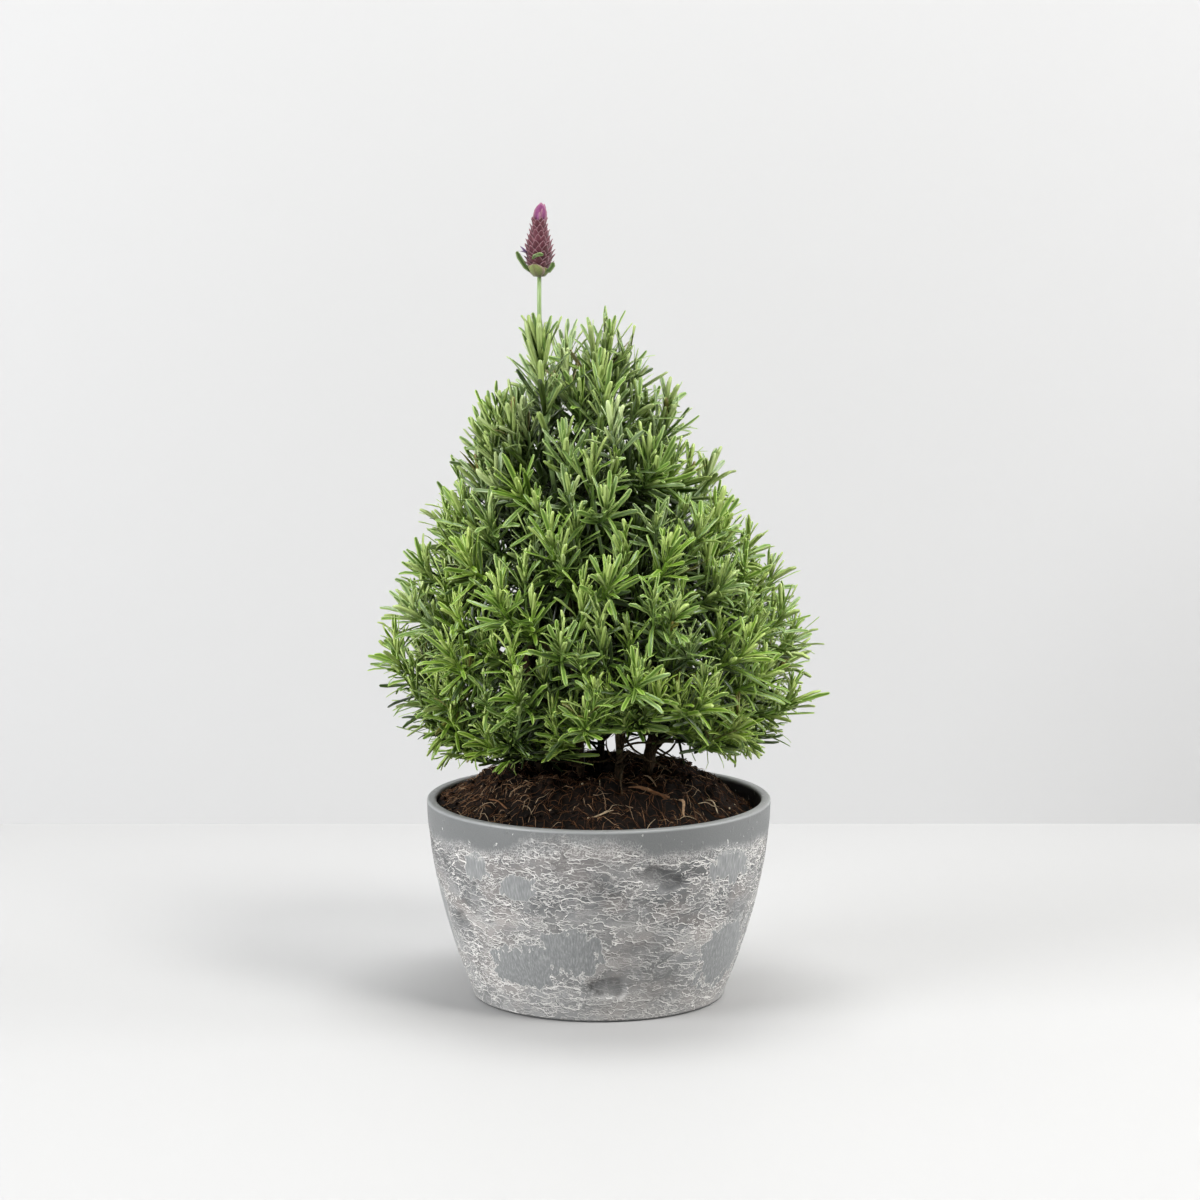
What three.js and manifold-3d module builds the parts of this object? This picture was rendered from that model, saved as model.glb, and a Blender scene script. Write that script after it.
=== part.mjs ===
// Potted lavender topiary: a bushy lavender grown as a cone, with one flower spike, in a round bowl.
// Millimetres, +Z up. The origin is the centre of the bowl's underside, and -Y is the front.

import * as THREE from "three";
import { mergeVertices } from "three/addons/utils/BufferGeometryUtils.js";
import Module from "manifold-3d";

const wasm = await Module();
wasm.setup();

// Fit
const FIT_GAP = 0.3; // between pieces that touch

// Bowl
const POT_HEIGHT = 134;
const RIM_RADIUS = 115;
const BASE_INSET = 31.5; // rim radius less base radius
const WALL_BULGE = 1.8; // how late the wall turns in on its way down
const POT_WALL = 6.3;
const POT_FLOOR = 7;
const FOOT_ROUND = 3;
const RIM_ROUND = 1;
const POT_SIDES = 40;

// Soil
const SOIL_EDGE = 125; // height of the soil against the bowl
const SOIL_EDGE_TILT = 4; // the soil lies higher on the left
const MOUND_TOP = 149;
const MOUND_SHOULDER = 0.42; // share of the radius where the mound starts to fall
const SOIL_RELIEF = 2.1;
const SOIL_SIDES = 32;
const SOIL_RINGS = 7;
const HOLE_FLOOR = 112;
const SOIL_ROOM = 2.5; // kept clear between leaves and the soil or the rim

// Crown: the height, and the radius that the leaf tips reach there
const CROWN_OUTLINE = [
  [8, 450],
  [40, 426],
  [76, 376],
  [114, 316],
  [143, 256],
  [138, 212],
  [118, 187],
  [74, 179],
];
const CROWN_BOTTOM = 150;
const CROWN_HEIGHT = 300;
const CROWN_LEAN = -13; // sideways shift of the very top
const SHOOT_COUNT = 80;
const PAIR_STEP = 8; // a shoot and the one that forks from it, counted along the spiral
const FIRST_SHOOT_ANGLE = 0.35;
const GOLDEN_ANGLE = Math.PI * (3 - Math.sqrt(5));
const LOW_RISE = 0.16; // radians above the horizon that the lowest shoots point
const HIGH_RISE = 1.4;
const LOW_DROOP = 0.32; // how far the leaves of the lowest and of the highest shoots hang
const HIGH_DROOP = 0.05;
const SHOOT_LENGTH = 66;
const LEAF_REACH = 19; // from a stem's end to the tips of its leaves

// Green stems and leaves
const STEM_SIDES = 4;
const STEM_RADIUS = 1.6;
const SIDE_STEM_START = 0.9;
const NODE_HEIGHT = 2.4;
const WHORL_STEP = 12.5;
const LEAF_LENGTH = 27;
const LEAF_WIDTH = 3.7;
const LEAF_THICKNESS = 0.8;
const LEAF_WIDEST = 0.6; // share of its length
const LEAF_ROOM = 1.9; // radius kept clear round a leaf's midrib
const NEIGHBOURHOOD = 90; // lines that start further apart than this can't meet

// Woody stems: where each stands on the soil, and its thickness there
const WOODY_STEMS = [
  { angle: 190, distance: 38, radius: 4.4 },
  { angle: 241, distance: 25, radius: 2.6 },
  { angle: 293, distance: 33, radius: 2.3 },
  { angle: 344, distance: 34, radius: 4.2 },
  { angle: 36, distance: 42, radius: 2.8 },
  { angle: 87, distance: 31, radius: 2.4 },
  { angle: 139, distance: 42, radius: 2.7 },
];
const WOODY_TOP = 318;
const WOODY_SPREAD = 9; // how far a stem leans out on its way up
const WOODY_TIP_RADIUS = 1.5;
const TWIG_RADIUS = 1.5;
const LOWEST_TWIG = 164; // height where the first twig leaves its woody stem
const TWIG_DROP = 22; // a twig starts this far below its end, and lower still for a far one
const TWIG_SLANT = 0.55;
const HOLE_DEPTH = 60; // of the stems' holes in the soil

// Flowering stem and its head
const FLOWER_PATH = [
  [-27, -24, 330],
  [-33, -31, 372],
  [-37, -36, 415],
  [-38.5, -38, 450],
  [-38.5, -38, 484],
];
const FLOWER_LEAF_END = 433; // height of the topmost leaves' node
const FLOWER_WHORLS = 7;
const FLOWER_LEAF_LENGTH = 31;
const SPIKE_HEIGHT = 33;
const SPIKE_SIDES = 9;
const SPIKE_BANDS = 8;
const SPIKE_RADIUS = 8.8;
const SCALE_LIFT = 1.5;
const TUFT_HEIGHT = 15;
const PETAL_WIDTH = 5;
const PETAL_THICKNESS = 0.9;
const PETAL_SHORTER = 0.9; // each petal less than the one before

const up = new THREE.Vector3(0, 0, 1);
const degrees = THREE.MathUtils.degToRad;
const mix = THREE.MathUtils.lerp;

// Finishes
const finish = (color, roughness, metalness = 0) =>
  new THREE.MeshStandardMaterial({ color, roughness, metalness });
const stoneGrey = finish(0x8f9193, 0.85);
const darkSoil = finish(0x2e1d13, 1);
const bark = finish(0x3b2c20, 0.9);
const leafGreen = finish(0x5f8a3c, 0.6);
const bractPurple = finish(0x6b2f45, 0.7);
const tuftPink = finish(0x96407e, 0.6);

const topiary = new THREE.Group();

function addPiece(name, geometry, material) {
  const mesh = new THREE.Mesh(geometry, material);
  mesh.name = name;
  topiary.add(mesh);
  return mesh;
}

// Seeded draws, so that the bush grows alike every time
function seededRandom(seed) {
  let state = seed;
  return () => {
    state = (state + 0x6d2b79f5) | 0;
    let t = Math.imul(state ^ (state >>> 15), 1 | state);
    t = (t + Math.imul(t ^ (t >>> 7), 61 | t)) ^ t;
    return ((t ^ (t >>> 14)) >>> 0) / 4294967296;
  };
}

// An even scatter from -1 to 1 that follows from the index alone
const scatter = (index, step) => (((index + 1) * step) % 1) * 2 - 1;
const SCATTER_TURN = 0.754877666;
const SCATTER_RISE = 0.56984029;
const SCATTER_REACH = 0.819172513;

// Solids for joining and cutting
function toSolid(geometry) {
  const bare = geometry.index ? geometry.toNonIndexed() : geometry.clone();
  bare.deleteAttribute("normal");
  bare.deleteAttribute("uv");
  const merged = mergeVertices(bare, 1e-4);
  return new wasm.Manifold(
    new wasm.Mesh({
      numProp: 3,
      vertProperties: merged.attributes.position.array,
      triVerts: new Uint32Array(merged.index.array),
    }),
  );
}

function toGeometry(solid) {
  const mesh = solid.getMesh();
  const geometry = new THREE.BufferGeometry();
  geometry.setAttribute("position", new THREE.BufferAttribute(mesh.vertProperties, mesh.numProp));
  geometry.setIndex(new THREE.BufferAttribute(mesh.triVerts, 1));
  geometry.computeVertexNormals();
  return geometry;
}

// Collects corners and triangles of one closed surface
class Surface {
  constructor() {
    this.corners = [];
    this.triangles = [];
  }

  corner(point) {
    this.corners.push(point.x, point.y, point.z);
    return this.corners.length / 3 - 1;
  }

  point(index) {
    return new THREE.Vector3().fromArray(this.corners, index * 3);
  }

  triangle(a, b, c) {
    this.triangles.push(a, b, c);
  }

  quad(a, b, c, d) {
    this.triangle(a, b, c);
    this.triangle(a, c, d);
  }

  ring(points) {
    return points.map((point) => this.corner(point));
  }

  band(lower, upper) {
    lower.forEach((corner, side) => {
      const next = (side + 1) % lower.length;
      this.quad(corner, lower[next], upper[next], upper[side]);
    });
  }

  // A fan from a middle point closes a ring: forwards at the top, backwards at the bottom
  cap(ring, atTop) {
    const centre = this.corner(this.middle(ring));
    ring.forEach((corner, side) => {
      const next = ring[(side + 1) % ring.length];
      if (atTop) this.triangle(corner, next, centre);
      else this.triangle(next, corner, centre);
    });
  }

  middle(corners) {
    const middle = new THREE.Vector3();
    corners.forEach((corner) => middle.add(this.point(corner)));
    return middle.divideScalar(corners.length);
  }

  // A four-sided face grows out to a flat middle, half as wide as across, and on to a pointed tip
  blade([a, b, c, d], { middle, across, thick, tip }) {
    const corner = (x, y) =>
      this.corner(middle.clone().addScaledVector(across, x).addScaledVector(thick, y));
    const [ma, mb, mc, md] = [corner(-1, -1), corner(1, -1), corner(1, 1), corner(-1, 1)];
    const end = this.corner(tip);
    this.quad(a, b, mb, ma);
    this.quad(c, mc, mb, b);
    this.quad(c, d, md, mc);
    this.quad(d, a, ma, md);
    for (const [from, to] of [[ma, mb], [mb, mc], [mc, md], [md, ma]]) {
      this.triangle(from, to, end);
    }
  }

  geometry() {
    const geometry = new THREE.BufferGeometry();
    geometry.setAttribute("position", new THREE.Float32BufferAttribute(this.corners, 3));
    geometry.setIndex(this.triangles);
    geometry.computeVertexNormals();
    return geometry;
  }
}

function loft(rings) {
  const surface = new Surface();
  const made = rings.map((points) => surface.ring(points));
  made.slice(1).forEach((ring, i) => surface.band(made[i], ring));
  surface.cap(made[0], false);
  surface.cap(made[made.length - 1], true);
  return surface.geometry();
}

// Rings square to a curve, one for each station along it
const FRAME_STEPS = 64;

function ringsAlong(curve, sides, stations) {
  const length = curve.getLength();
  const frames = curve.computeFrenetFrames(FRAME_STEPS, false);
  return stations.map(({ distance, radius, twist = 0 }) => {
    const share = THREE.MathUtils.clamp(distance / length, 0, 1);
    const middle = curve.getPointAt(share);
    const step = Math.round(share * FRAME_STEPS);
    return Array.from({ length: sides }, (_, side) => {
      const angle = ((side + 0.5) / sides) * 2 * Math.PI + twist;
      return middle
        .clone()
        .addScaledVector(frames.normals[step], Math.cos(angle) * radius)
        .addScaledVector(frames.binormals[step], Math.sin(angle) * radius);
    });
  });
}

function taperedTube(curve, sides, steps, startRadius, endRadius) {
  const stations = Array.from({ length: steps + 1 }, (_, i) => ({
    distance: (i / steps) * curve.getLength(),
    radius: mix(startRadius, endRadius, i / steps),
  }));
  return loft(ringsAlong(curve, sides, stations));
}

// Bowl
const potRadius = (height) =>
  RIM_RADIUS - BASE_INSET * Math.max(0, 1 - height / POT_HEIGHT) ** WALL_BULGE;
const boreRadius = (height) => potRadius(height) - POT_WALL;

function potGeometry() {
  const profile = [new THREE.Vector2(0, 0)];
  const footRadius = potRadius(FOOT_ROUND);
  for (const turn of [0, 0.5, 1]) {
    const angle = (turn * Math.PI) / 2;
    profile.push(
      new THREE.Vector2(
        footRadius - FOOT_ROUND * (1 - Math.sin(angle)),
        FOOT_ROUND * (1 - Math.cos(angle)),
      ),
    );
  }
  for (const share of [0.14, 0.3, 0.47, 0.65, 0.83]) {
    profile.push(new THREE.Vector2(potRadius(share * POT_HEIGHT), share * POT_HEIGHT));
  }
  profile.push(new THREE.Vector2(RIM_RADIUS, POT_HEIGHT - RIM_ROUND));
  profile.push(new THREE.Vector2(RIM_RADIUS - RIM_ROUND, POT_HEIGHT));
  profile.push(new THREE.Vector2(RIM_RADIUS - POT_WALL, POT_HEIGHT));
  for (const share of [0.8, 0.5, 0.25]) {
    profile.push(new THREE.Vector2(boreRadius(share * POT_HEIGHT), share * POT_HEIGHT));
  }
  profile.push(new THREE.Vector2(boreRadius(POT_FLOOR), POT_FLOOR));
  profile.push(new THREE.Vector2(0, POT_FLOOR));
  return new THREE.LatheGeometry(profile, POT_SIDES).rotateX(Math.PI / 2);
}

// Soil: a heaped root ball of coarse fibre
function soilHeight(x, y) {
  const edge = SOIL_EDGE - (SOIL_EDGE_TILT * x) / RIM_RADIUS;
  const share = Math.hypot(x, y) / boreRadius(SOIL_EDGE);
  const heap = 1 - THREE.MathUtils.smoothstep(share, MOUND_SHOULDER, 1);
  const clods =
    Math.sin(0.11 * x + 0.05 * y + 1) * Math.sin(0.13 * y - 0.04 * x) +
    0.7 * Math.sin(0.21 * x - 0.17 * y) * Math.sin(0.19 * y + 0.12 * x + 2);
  return mix(edge, MOUND_TOP, heap) + SOIL_RELIEF * clods * (1 - share ** 4);
}

// Straight lines join the bore's corners in the bowl, so the soil keeps inside their chords
const CHORD = Math.cos(Math.PI / POT_SIDES) ** 2;

function soilSolid() {
  const circle = (radius, height) =>
    Array.from({ length: SOIL_SIDES }, (_, side) => {
      const angle = (side / SOIL_SIDES) * 2 * Math.PI;
      const [x, y] = [Math.cos(angle) * radius, Math.sin(angle) * radius];
      return new THREE.Vector3(x, y, typeof height === "number" ? height : height(x, y));
    });
  const wallRadius = (height) => (boreRadius(height) - FIT_GAP) * CHORD - 1;
  const wall = [POT_FLOOR + FIT_GAP, 50, 95].map((height) =>
    circle(wallRadius(height), height),
  );
  const rim = wallRadius(SOIL_EDGE);
  const top = Array.from({ length: SOIL_RINGS }, (_, i) =>
    circle(rim * (1 - i / SOIL_RINGS), soilHeight),
  );
  return toSolid(loft([...wall, ...top]));
}

// Crown: shoot tips on an even spiral over the outline, from the top down
const outline = new THREE.SplineCurve(CROWN_OUTLINE.map(([r, z]) => new THREE.Vector2(r, z)));
const OUTLINE_STEPS = 140;

function outlineTable() {
  const points = outline.getPoints(OUTLINE_STEPS);
  let area = 0;
  return points.map((point, i) => {
    if (i > 0) area += point.distanceTo(points[i - 1]) * (point.x + points[i - 1].x);
    return { point, area };
  });
}

const outlineSteps = outlineTable();

function outlineAt(share) {
  const wanted = share * outlineSteps[OUTLINE_STEPS].area;
  return outlineSteps.find((step) => step.area >= wanted).point;
}

const crownShare = (height) => Math.max(0, (height - CROWN_BOTTOM) / CROWN_HEIGHT);
const crownAxis = (height) => new THREE.Vector3(CROWN_LEAN * crownShare(height) ** 2, 0, height);

function pointing(angle, rise) {
  return new THREE.Vector3(
    Math.cos(angle) * Math.cos(rise),
    Math.sin(angle) * Math.cos(rise),
    Math.sin(rise),
  );
}

function shootTip(index) {
  const { x: radius, y: height } = outlineAt((index + 0.5) / SHOOT_COUNT);
  const angle = index * GOLDEN_ANGLE + FIRST_SHOOT_ANGLE + 0.1 * scatter(index, SCATTER_TURN);
  const share = crownShare(height);
  const rise = mix(LOW_RISE, HIGH_RISE, share ** 0.8) + 0.12 * scatter(index, SCATTER_RISE);
  const reach = radius * (1 + 0.04 * scatter(index, SCATTER_REACH));
  const tip = crownAxis(height).addScaledVector(pointing(angle, 0), reach);
  return { tip, angle, rise, share };
}

// A shoot's stem runs from its fork to a leaf's reach short of its tip, and turns up on the way
const TURN_UP = 0.18;

function stemCurve(start, shoot) {
  const heading = pointing(shoot.angle, shoot.rise);
  const end = shoot.tip.clone().addScaledVector(heading, -LEAF_REACH);
  const bend = end.clone().addScaledVector(heading, -0.5 * end.distanceTo(start));
  return new THREE.QuadraticBezierCurve3(start, bend, end);
}

function forkPoint(shoot) {
  return shoot.tip
    .clone()
    .addScaledVector(pointing(shoot.angle, shoot.rise - TURN_UP), -SHOOT_LENGTH);
}

// What already stands where: stems and midribs as thick lines
const standing = [];

function distanceBetween(a, b) {
  const u = b.to.clone().sub(b.from);
  const v = a.to.clone().sub(a.from);
  const w = a.from.clone().sub(b.from);
  const [uu, uv, vv, uw, vw] = [u.dot(u), u.dot(v), v.dot(v), u.dot(w), v.dot(w)];
  const slant = uu * vv - uv * uv;
  const clamp = (x) => Math.min(1, Math.max(0, x));
  let t = slant > 1e-9 ? clamp((uv * uw - uu * vw) / slant) : 0;
  const s = clamp((uv * t + uw) / uu);
  t = clamp((uv * s - vw) / vv);
  return w.addScaledVector(v, t).addScaledVector(u, -s).length();
}

const isAboveSoil = ({ x, y, z }) =>
  z > soilHeight(x, y) + SOIL_ROOM || Math.hypot(x, y) > RIM_RADIUS + SOIL_ROOM;

function isClear(lines, ignores) {
  return lines.every((line) =>
    isAboveSoil(line.to) && standing.every(
      (other) =>
        ignores(other) ||
        line.from.distanceTo(other.from) > NEIGHBOURHOOD ||
        distanceBetween(line, other) > line.room + other.room + FIT_GAP,
    ),
  );
}

function standAlong(curve, room, owner, steps = 6) {
  const points = curve.getSpacedPoints(steps);
  points.slice(1).forEach((to, i) => standing.push({ from: points[i], to, room, owner }));
}

// Leafy shoots: a square stem whose side faces grow out into leaves, four at a node
class LeafyShoot {
  constructor(curve, startRadius, whorls, owner) {
    this.curve = curve;
    this.length = curve.getLength();
    this.startRadius = startRadius;
    this.whorls = whorls;
    this.topWhorl = whorls[whorls.length - 1];
    this.owner = owner;
    this.surface = new Surface();
    this.makeStem();
  }

  radius(distance) {
    const grown = THREE.MathUtils.smoothstep(distance, 0, 8);
    return mix(this.startRadius, STEM_RADIUS, grown);
  }

  // Each node is turned by half a side from the one below
  makeStem() {
    const station = (distance, twist) => ({ distance, twist, radius: this.radius(distance) });
    const stations = [station(0, 0)];
    this.whorls.forEach((whorl, w) => {
      const twist = (w % 2) * (Math.PI / STEM_SIDES);
      stations.push(station(whorl.at - NODE_HEIGHT, twist), station(whorl.at, twist));
    });
    if (!this.topWhorl.terminal) {
      stations.push(station(this.length, stations[stations.length - 1].twist));
    }
    const rings = ringsAlong(this.curve, STEM_SIDES, stations);
    this.rings = rings.map((points) => this.surface.ring(points));
    this.surface.cap(this.rings[0], false);
  }

  // Leaf bases, from the outermost node in
  bases() {
    const found = [];
    this.whorls.forEach((whorl, w) => {
      const [lower, upper] = [this.rings[2 * w + 1], this.rings[2 * w + 2]];
      const heading = this.curve.getTangentAt(Math.min(1, whorl.at / this.length));
      for (let side = 0; side < STEM_SIDES; side++) {
        const next = (side + 1) % STEM_SIDES;
        found.push({
          shoot: this,
          whorl,
          heading,
          quad: [lower[side], lower[next], upper[next], upper[side]],
          wanted: side % 2 === 0 || whorl.full,
        });
      }
    });
    const top = this.rings[this.rings.length - 1];
    if (this.topWhorl.terminal) {
      const whorl = { ...this.topWhorl, lean: 0.06 };
      const heading = this.curve.getTangentAt(1);
      found.push({ shoot: this, whorl, heading, quad: top, wanted: true, atEnd: true });
    }
    return found;
  }

  grow(base, shape) {
    if (shape) this.surface.blade(base.quad, shape);
    else this.surface.quad(...base.quad);
  }

  closeTop() {
    if (!this.topWhorl.terminal) {
      this.surface.cap(this.rings[this.rings.length - 1], true);
    }
    this.rings.slice(1).forEach((ring, i) => {
      if (i % 2 === 0) this.surface.band(this.rings[i], ring);
    });
  }
}

function leafShape(base, length, lean, turn, droop) {
  const points = base.quad.map((index) => base.shoot.surface.point(index));
  const root = base.shoot.surface.middle(base.quad);
  const sideways = points[1].clone().sub(points[0]).normalize();
  const outward = base.atEnd
    ? points[2].clone().sub(points[1]).normalize()
    : sideways.clone().cross(base.heading).normalize();
  const aim = base.heading
    .clone()
    .multiplyScalar(Math.cos(lean))
    .addScaledVector(outward, Math.sin(lean) * Math.cos(turn))
    .addScaledVector(sideways, Math.sin(lean) * Math.sin(turn))
    .normalize();
  const further = aim.clone().addScaledVector(up, -droop).normalize();
  const middle = root.clone().addScaledVector(aim, length * LEAF_WIDEST);
  const tip = middle.clone().addScaledVector(further, length * (1 - LEAF_WIDEST));
  const across = sideways.clone().addScaledVector(aim, -sideways.dot(aim)).normalize();
  const thick = aim.clone().cross(across).normalize();
  if (base.atEnd ? thick.dot(outward) < 0 : thick.dot(base.heading) < 0) thick.negate();
  across.multiplyScalar(LEAF_WIDTH / 2);
  thick.multiplyScalar(LEAF_THICKNESS / 2);
  return { root, middle, tip, across, thick };
}

const SIZES_TRIED = [1, 1, 0.9, 0.9, 0.8, 0.8, 0.7, 0.6];
const random = seededRandom(20);

// Tries a few aims and sizes for a leaf, and leaves its face bare where none is clear
function growLeaf(base) {
  const { shoot, whorl } = base;
  for (const size of base.wanted ? SIZES_TRIED : []) {
    const length = whorl.length * size * (0.92 + 0.16 * random());
    const lean = whorl.lean * (0.85 + 0.3 * random());
    const turn = 0.5 * (random() - 0.5);
    const droop = whorl.droop * (0.4 + 1.2 * random());
    const shape = leafShape(base, length, lean, turn, droop);
    const lines = [
      { from: shape.root, to: shape.middle, room: LEAF_ROOM },
      { from: shape.middle, to: shape.middle.clone().lerp(shape.tip, 0.85), room: LEAF_ROOM },
    ];
    const owner = shoot.owner;
    const kin = (other) =>
      (other.owner === owner && !other.shoot) ||
      (other.shoot === shoot && other.whorl === whorl.at);
    if (isClear(lines, kin)) {
      lines.forEach((line) => standing.push({ ...line, owner, shoot, whorl: whorl.at }));
      shoot.grow(base, shape);
      return;
    }
  }
  shoot.grow(base, null);
}

// Whorls from the lowest up, ending at the stem's end
function whorlsFor(length, count, share) {
  const leans = [0.5, 0.78, 1.0, 1.15];
  return Array.from({ length: count }, (_, fromTop) => ({
    at: length - fromTop * WHORL_STEP,
    lean: leans[Math.min(fromTop, 3)],
    length: LEAF_LENGTH * (fromTop ? 1 : 0.9),
    droop: mix(LOW_DROOP, HIGH_DROOP, share),
    full: fromTop < 2,
    terminal: fromTop === 0,
  })).reverse();
}

function makeBranches() {
  const branches = [];
  for (let block = 0; block < SHOOT_COUNT; block += 2 * PAIR_STEP) {
    for (let i = block; i < block + PAIR_STEP; i++) {
      const [main, side] = [shootTip(i), shootTip(i + PAIR_STEP)];
      const stem = stemCurve(forkPoint(main), main);
      const fork = stemCurve(stem.getPointAt(0.1), side);
      branches.push({ main, side, stem, fork });
    }
  }
  return branches;
}

// Woody stems: each stands in the soil and forks to the leafy branches nearest to it
function woodyCurve({ angle, distance }) {
  const turn = degrees(angle);
  const at = (out, height) => pointing(turn, 0).multiplyScalar(out).setZ(height);
  return new THREE.CatmullRomCurve3([
    at(distance, HOLE_FLOOR + FIT_GAP),
    at(distance, 156),
    at(distance + WOODY_SPREAD, 200),
    at(distance + WOODY_SPREAD * 0.4, 260),
    at(distance * 0.55, WOODY_TOP),
  ]);
}

function pointAtHeight(curve, height) {
  const points = curve.getSpacedPoints(80);
  return points.reduce((best, point) =>
    Math.abs(point.z - height) < Math.abs(best.z - height) ? point : best,
  );
}

function twigCurve(stem, start, heading) {
  const reach = Math.hypot(start.x, start.y);
  const height = THREE.MathUtils.clamp(
    start.z - TWIG_DROP - TWIG_SLANT * reach,
    LOWEST_TWIG,
    WOODY_TOP - 6,
  );
  const from = pointAtHeight(stem, height);
  const end = start.clone().addScaledVector(heading, -FIT_GAP);
  const bend = end.clone().addScaledVector(heading, -0.45 * end.distanceTo(from));
  return new THREE.QuadraticBezierCurve3(from, bend, end);
}

const branches = makeBranches();
const woody = WOODY_STEMS.map((stem) => ({ ...stem, curve: woodyCurve(stem), twigs: [] }));
const flowerCurve = new THREE.CatmullRomCurve3(
  FLOWER_PATH.map((point) => new THREE.Vector3(...point)),
);

function nearestWoody(point) {
  const turn = Math.atan2(point.y, point.x);
  const away = (stem) => Math.abs(Math.atan2(
    Math.sin(turn - degrees(stem.angle)),
    Math.cos(turn - degrees(stem.angle)),
  ));
  return woody.reduce((best, stem) => (away(stem) < away(best) ? stem : best));
}

for (const curve of [...branches.map((branch) => branch.stem), flowerCurve]) {
  const start = curve.getPointAt(0);
  const stem = nearestWoody(start);
  stem.twigs.push(twigCurve(stem.curve, start, curve.getTangentAt(0)));
}

woody.forEach((stem, w) => {
  standAlong(stem.curve, stem.radius, `woody${w}`, 8);
  stem.twigs.forEach((twig) => standAlong(twig, TWIG_RADIUS, `woody${w}`));
});

const woodySides = (stem) => (stem.radius > 4 ? 7 : 5);

function woodySolid(stem) {
  let solid = toSolid(taperedTube(stem.curve, woodySides(stem), 6, stem.radius, WOODY_TIP_RADIUS));
  for (const twig of stem.twigs) {
    solid = solid.add(toSolid(taperedTube(twig, 3, 3, TWIG_RADIUS * 0.9, TWIG_RADIUS)));
  }
  return solid;
}

// Leafy branches
branches.forEach((branch, i) => {
  standAlong(branch.stem, STEM_RADIUS, `leafy${i}`);
  standAlong(branch.fork, STEM_RADIUS, `leafy${i}`);
});
standAlong(flowerCurve, STEM_RADIUS, "flowering", 10);

branches.forEach((branch, i) => {
  const owner = `leafy${i}`;
  const [stemLength, forkLength] = [branch.stem.getLength(), branch.fork.getLength()];
  branch.shoots = [
    new LeafyShoot(branch.stem, STEM_RADIUS, whorlsFor(stemLength, 3, branch.main.share), owner),
    new LeafyShoot(branch.fork, SIDE_STEM_START, whorlsFor(forkLength, 2, branch.side.share), owner),
  ];
});

function floweringShoot() {
  const length = flowerCurve.getLength();
  const top = length - (FLOWER_PATH[4][2] - FLOWER_LEAF_END);
  const leafy = Array.from({ length: FLOWER_WHORLS }, (_, fromTop) => ({
    at: top - fromTop * WHORL_STEP,
    lean: mix(0.35, 1.0, fromTop / (FLOWER_WHORLS - 1)),
    length: FLOWER_LEAF_LENGTH * (fromTop ? 1 : 0.8),
    droop: HIGH_DROOP,
    full: fromTop < 4,
  })).reverse();
  const collar = { at: length - 2.4, lean: 1.4, length: 8, droop: -0.6, full: true };
  return new LeafyShoot(flowerCurve, STEM_RADIUS, [...leafy, collar], "flowering");
}

const flowering = floweringShoot();
const shoots = [flowering, ...branches.flatMap((branch) => branch.shoots)];
const mostWhorls = Math.max(...shoots.map((shoot) => shoot.whorls.length));
const basesOf = new Map(shoots.map((shoot) => [shoot, shoot.bases()]));
for (let fromTop = 0; fromTop <= mostWhorls; fromTop++) {
  for (const shoot of shoots) {
    const whorl = shoot.whorls[shoot.whorls.length - 1 - fromTop];
    for (const base of basesOf.get(shoot)) {
      const isHere = base.atEnd ? fromTop === 0 : base.whorl === whorl;
      if (isHere) growLeaf(base);
    }
  }
}
shoots.forEach((shoot) => shoot.closeTop());

// Flower head: a spike of overlapping scales and a tuft of petals
const spikeFoot = new THREE.Vector3(...FLOWER_PATH[4]).add(new THREE.Vector3(0, 0, FIT_GAP));

function spikeGeometry() {
  const surface = new Surface();
  const ringAt = (band) => {
    const share = band / SPIKE_BANDS;
    const swell = Math.sin(Math.PI * Math.min(1, 0.22 + 0.5 * share + 0.18 * share * share));
    const radius = SPIKE_RADIUS * (0.32 + 0.68 * swell) * mix(1, 0.62, share);
    return Array.from({ length: SPIKE_SIDES }, (_, side) => {
      const angle = ((side + band / 2) / SPIKE_SIDES) * 2 * Math.PI;
      return pointing(angle, 0).multiplyScalar(radius).setZ(share * SPIKE_HEIGHT).add(spikeFoot);
    });
  };
  const rings = Array.from({ length: SPIKE_BANDS + 1 }, (_, band) => surface.ring(ringAt(band)));
  surface.cap(rings[0], false);
  surface.cap(rings[SPIKE_BANDS], true);
  for (let band = 0; band < SPIKE_BANDS; band++) {
    for (let side = 0; side < SPIKE_SIDES; side++) {
      const next = (side + 1) % SPIKE_SIDES;
      const quad = [rings[band][side], rings[band][next], rings[band + 1][next], rings[band + 1][side]];
      const peak = surface.middle(quad);
      const out = peak.clone().sub(spikeFoot).setZ(0).normalize();
      peak.addScaledVector(out, SCALE_LIFT).addScaledVector(up, SCALE_LIFT * 1.1);
      const tip = surface.corner(peak);
      quad.forEach((corner, k) => surface.triangle(corner, quad[(k + 1) % 4], tip));
    }
  }
  return surface.geometry();
}

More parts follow.
